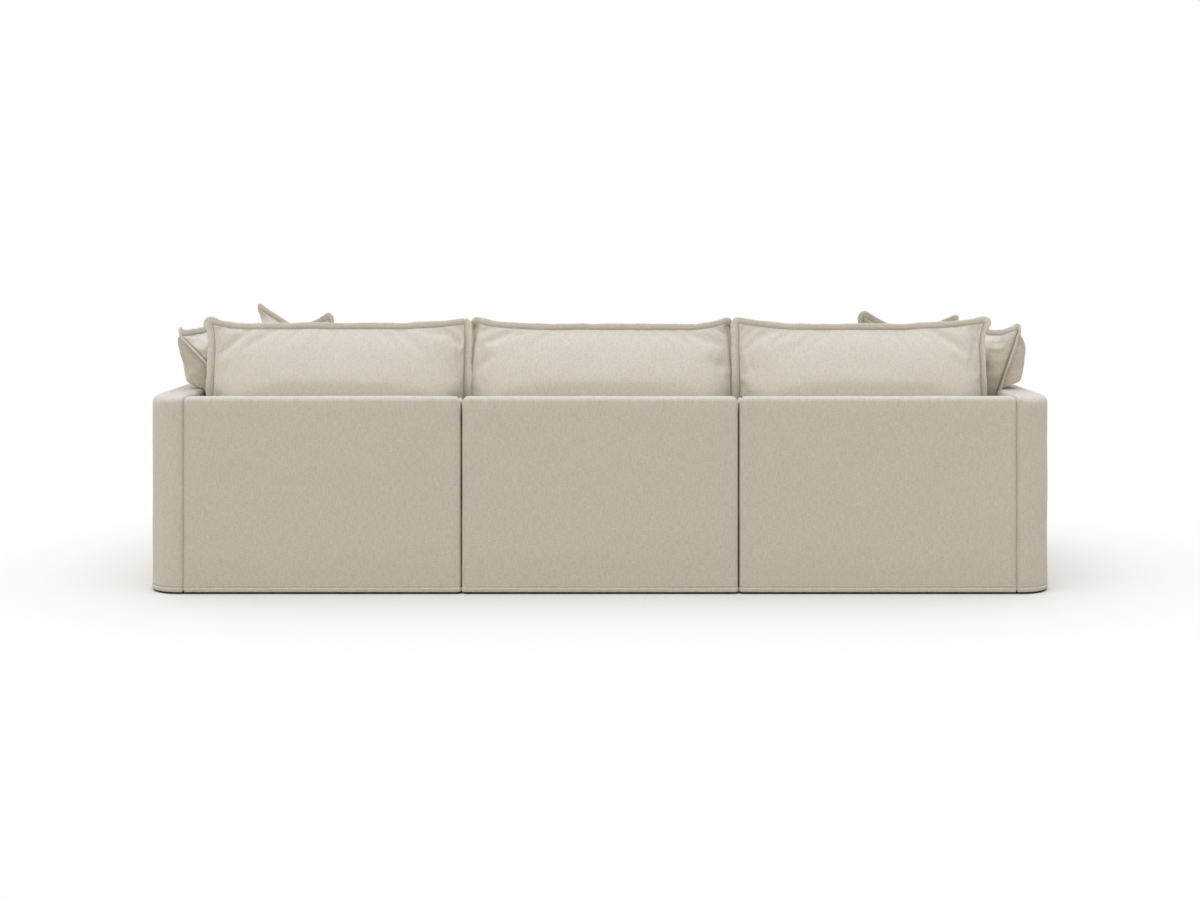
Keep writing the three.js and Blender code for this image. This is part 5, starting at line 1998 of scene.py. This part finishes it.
@dataclass
class Studio:
    """The camera, the pale floor and the soft light."""

    camera_place: tuple[float, float, float] = (0.0, 6.461, 1.198)
    horizon_row: float = 240.0
    image_width: float = 1200.0
    image_height: float = 900.0
    lens: float = 50.0
    low_sky: float = 0.385
    high_sky: float = 1.68
    lamp: float = 0.38
    floor_tone: tuple[float, float, float, float] = (0.49, 0.45, 0.39, 1.0)
    floor_seen: tuple[float, float, float, float] = (0.812, 0.78, 0.728, 1.0)
    low_colour: tuple[float, float, float, float] = (1.05, 1.0, 0.91, 1.0)
    overhead_colour: tuple[float, float, float, float] = (0.91, 0.995, 1.15, 1.0)
    floor_size: float = 40.0

    def camera(self) -> None:
        """Makes the camera, level and straight behind the sofa, with the horizon at its row."""
        data = bpy.data.cameras.new("camera")
        data.lens = self.lens
        data.shift_y = (self.horizon_row - self.image_height / 2) / self.image_width
        made = bpy.data.objects.new("camera", data)
        made.location = self.camera_place
        made.rotation_euler = (math.pi / 2, 0, math.pi)
        bpy.context.scene.collection.objects.link(made)
        bpy.context.scene.camera = made

    def floor(self) -> None:
        """Makes the pale floor, which keeps the sofa's shadow."""
        half = self.floor_size
        mesh = bpy.data.meshes.new("floor")
        corners = [(-half, -half, 0), (half, -half, 0), (half, half, 0), (-half, half, 0)]
        mesh.from_pydata(corners, [], [(0, 1, 2, 3)])
        made = bpy.data.objects.new("floor", mesh)
        bpy.context.scene.collection.objects.link(made)
        paper = bpy.data.materials.new("studio_floor")
        paper.use_nodes = True
        wiring = Wiring(paper.node_tree)
        shader = paper.node_tree.nodes["Principled BSDF"]
        colour = wiring.mix(self.seen(wiring), self.floor_tone, self.floor_seen)
        wiring.feed(shader.inputs["Base Color"], colour)
        shader.inputs["Roughness"].default_value = 1.0
        shader.inputs["Specular IOR Level"].default_value = 0.0
        mesh.materials.append(paper)

    def seen(self, wiring: Wiring) -> Socket:
        """1 on the rays of the camera, of reflections and through glass, and 0 on the others."""
        path = wiring.node("ShaderNodeLightPath")
        seen = wiring.math("MAXIMUM", path.outputs["Is Camera Ray"], path.outputs["Is Glossy Ray"])
        return wiring.math("MAXIMUM", seen, path.outputs["Is Transmission Ray"])

    def light(self) -> None:
        """Lights the sofa from a sky that is brightest overhead, and one very soft side lamp."""
        world = bpy.data.worlds.new("studio")
        bpy.context.scene.world = world
        world.use_nodes = True
        world.node_tree.nodes.clear()
        wiring = Wiring(world.node_tree)
        way = wiring.node("ShaderNodeTexCoord").outputs["Generated"]
        height = wiring.node("ShaderNodeSeparateXYZ", {0: way}).outputs[2]
        height = wiring.math("MAXIMUM", height, 0.0)
        squared = wiring.math("MULTIPLY", height, height)
        sky = wiring.math("MULTIPLY_ADD", squared, self.high_sky, self.low_sky)
        seen = self.seen(wiring)
        strength = wiring.math("MULTIPLY_ADD", seen, wiring.math("SUBTRACT", 1.0, sky), sky)
        colour = wiring.mix(squared, self.low_colour, self.overhead_colour)
        colour = wiring.mix(seen, colour, (1.0, 1.0, 1.0, 1.0))
        back = wiring.node("ShaderNodeBackground", {"Color": colour, "Strength": strength})
        wiring.node("ShaderNodeOutputWorld", {"Surface": back.outputs[0]})
        data = bpy.data.lights.new("side_lamp", "SUN")
        data.energy = self.lamp
        data.angle = math.radians(80)
        made = bpy.data.objects.new("side_lamp", data)
        made.rotation_euler = (math.radians(-34), math.radians(40), 0)
        bpy.context.scene.collection.objects.link(made)

    def build(self) -> None:
        """Sets up the whole studio."""
        self.camera()
        self.floor()
        self.light()
        bpy.context.scene.view_settings.view_transform = "Standard"
        LOG.info("studio ready")


BACK_EDGES = {
    Module.RIGHT: {
        "top_dip": 0.022,
        "dip_runs": (0.33, 0.25),
        "side_dips": (0.02, 0.0),
        "corner_ears": (1.3, 1.1),
        "widened": (0.0, 0.006),
    },
    Module.CENTRE: {
        "top_dip": 0.022,
        "dip_runs": (0.14, 0.24),
        "side_dips": (0.0, 0.0),
        "corner_ears": (1.05, 1.05),
    },
    Module.CHAISE: {
        "top_dip": 0.017,
        "dip_runs": (0.29, 0.13),
        "side_dips": (0.0, 0.014),
        "corner_ears": (1.1, 1.65),
        "widened": (0.006, 0.007),
    },
}


BACK_CREASES = {
    Module.RIGHT: (
        Crease((0.432, 0.17), (0.428, -0.02), 0.006, 0.006),
        Crease((0.415, 0.14), (0.375, 0.0), 0.007, 0.004),
        Crease((-0.40, 0.16), (-0.36, 0.05), 0.008, 0.005),
        Crease((0.24, 0.2), (0.22, 0.08), 0.02, 0.0025),
        Crease((0.05, 0.2), (0.06, 0.09), 0.018, 0.0025),
        Crease((-0.14, 0.2), (-0.12, 0.06), 0.022, 0.0025),
        Crease((-0.29, 0.19), (-0.27, 0.09), 0.016, 0.002),
    ),
    Module.CENTRE: (
        Crease((0.445, 0.06), (0.40, -0.015), 0.007, 0.006),
        Crease((0.44, 0.15), (0.415, 0.07), 0.008, 0.004),
        Crease((-0.43, 0.13), (-0.40, 0.0), 0.007, 0.005),
        Crease((0.02, 0.2), (0.0, 0.07), 0.02, 0.0025),
        Crease((-0.1, 0.19), (-0.08, 0.09), 0.016, 0.002),
        Crease((0.21, 0.19), (0.2, 0.06), 0.022, 0.0025),
        Crease((-0.27, 0.2), (-0.3, 0.08), 0.02, 0.0025),
    ),
    Module.CHAISE: (
        Crease((-0.425, 0.16), (-0.43, -0.02), 0.006, 0.006),
        Crease((-0.405, 0.12), (-0.415, 0.0), 0.006, 0.004),
        Crease((0.40, 0.16), (0.42, 0.06), 0.007, 0.004),
        Crease((0.13, 0.2), (0.11, 0.09), 0.018, 0.0025),
        Crease((-0.04, 0.2), (-0.05, 0.08), 0.02, 0.0028),
        Crease((-0.2, 0.19), (-0.19, 0.05), 0.02, 0.0025),
        Crease((0.28, 0.2), (0.27, 0.1), 0.016, 0.002),
    ),
}


SIDE_CREASES = {
    Module.RIGHT: (
        Crease((0.285, 0.15), (0.17, 0.145), 0.006, 0.007, rear=False),
        Crease((0.285, 0.118), (0.2, 0.124), 0.005, 0.005, rear=False),
        Crease((0.27, 0.04), (0.2, 0.075), 0.01, 0.006, rear=False),
    ),
    Module.CHAISE: (
        Crease((-0.285, 0.14), (-0.19, 0.165), 0.007, 0.007, rear=False),
        Crease((-0.275, 0.09), (-0.21, 0.12), 0.006, 0.005, rear=False),
        Crease((-0.28, 0.06), (-0.2, 0.03), 0.007, 0.004),
    ),
}


def back_cushion(module: Module) -> FlangedCushion:
    """The back cushion of a module."""
    label = module.label
    low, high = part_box(f"{label}_back_cover")
    half_height = (high.z - low.z) / 2
    plan = Plan(module)
    gap = BACK_PLANE_GAP
    middle = low.z + half_height
    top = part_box("centre_slipcover")[1].z
    return FlangedCushion(
        name=f"{label}_back_cushion",
        body=f"{label}_back_cushion",
        cover_node=f"{label}_back_cover",
        insert_node=f"{label}_back_insert",
        half_width=(high.x - low.x) / 2,
        half_height=half_height,
        front_bulge=0.112,
        rear_bulge=0.108,
        **BACK_EDGES[module],
        belly=top - middle - 0.06,
        rear_crown=(1.5, 0.8),
        side_power=5.5 if module is Module.CENTRE else 4.5,
        bend=-0.045,
        bend_start=top - middle,
        support=gap - 0.001,
        support_top=top - middle,
        folded=(1.0, 1.0) if module is Module.CENTRE else (0.0, 0.0),
        fold_back=(0.1, 0.065) if module is Module.CENTRE else (0.0, 0.0),
        place=((low.x + high.x) / 2, plan.back_inner - gap, middle),
        seed=11.0 + module.value,
        creases=BACK_CREASES[module],
        zip_length=ZIP_LENGTH,
    )


def side_cushion(module: Module) -> FlangedCushion:
    """The side cushion that leans over a module's arm."""
    label = module.label
    low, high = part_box(f"{label}_side_cover")
    half_height = (high.z - low.z) / 2
    plan = Plan(module)
    gap = SIDE_PLANE_GAP
    middle = low.z + half_height
    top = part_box("centre_slipcover")[1].z
    chaise = module is Module.CHAISE
    return FlangedCushion(
        name=f"{label}_side_cushion",
        body=f"{label}_side_cushion",
        cover_node=f"{label}_side_cover",
        insert_node=f"{label}_side_insert",
        half_width=(high.y - low.y) / 2,
        half_height=half_height,
        front_bulge=0.105,
        rear_bulge=0.14,
        top_dip=0.006 if chaise else 0.022,
        droops=(0.02, 0.016) if chaise else (0.02, 0.0),
        corner_ears=(1.9, 1.1) if chaise else (1.1, 1.3),
        fold_back=(0.0, 0.0) if chaise else (0.0, -0.025),
        corner_back=1.0,
        belly=top - middle + 0.02,
        rear_crown=(4.0 if chaise else 2.4, 0.5),
        side_power=5.5,
        lean_soft=0.009,
        bend=0.135 if chaise else 0.078,
        bend_start=top - middle + (0.072 if chaise else -0.07),
        support=gap - 0.001,
        support_top=top - middle + 0.004,
        over=0.085 if chaise else 0.105,
        over_step=0.75 if chaise else 0.85,
        slant=0.15,
        slant_side=-module.value,
        turn=-module.value * math.pi / 2,
        place=(plan.arm_inner - module.value * gap, (low.y + high.y) / 2, middle),
        seed=23.0 + module.value,
        creases=SIDE_CREASES[module],
        zip_length=SIDE_ZIP_LENGTH,
    )


def throw_pillow(module: Module, turn: float, tilt: float) -> FlangedCushion:
    """The throw pillow in the corner of a module."""
    label = module.label
    return FlangedCushion(
        name=f"{label}_throw_pillow",
        body=f"{label}_throw_pillow",
        cover_node=f"{label}_pillow",
        insert_node=None,
        half_width=0.25,
        half_height=0.25,
        front_bulge=0.072,
        rear_bulge=0.072,
        top_dip=0.07,
        dip_runs=(0.23, 0.23),
        dip_power=1.25,
        side_dips=(0.018, 0.018),
        droops=(0.022, 0.0) if module is Module.CHAISE else (0.028, 0.0),
        corner_ears=(1.3, 1.3),
        rear_crown=(2.2, 0.5),
        side_power=2.4,
        front_side_power=2.4,
        turn=math.radians(turn),
        tilt=math.radians(tilt),
        seed=37.0 + module.value,
    )


def main() -> None:
    """Builds the studio and the sofa, piece by piece."""
    logging.basicConfig(level=logging.INFO, format="%(name)s: %(message)s")
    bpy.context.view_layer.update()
    Studio().build()
    for module in Module:
        plan = Plan(module)
        Slipcover(plan).build()
        BoxedCushion(plan).build()
        SoftFillings(module.label).build()
        Platform(module.label).build()
        back_cushion(module).build()
    for module, turn, tilt in ((Module.RIGHT, 32, 20), (Module.CHAISE, -47, 14)):
        side_cushion(module).build()
        throw_pillow(module, turn, tilt).build()
    HardParts().dress()


if __name__ == "__main__":
    main()
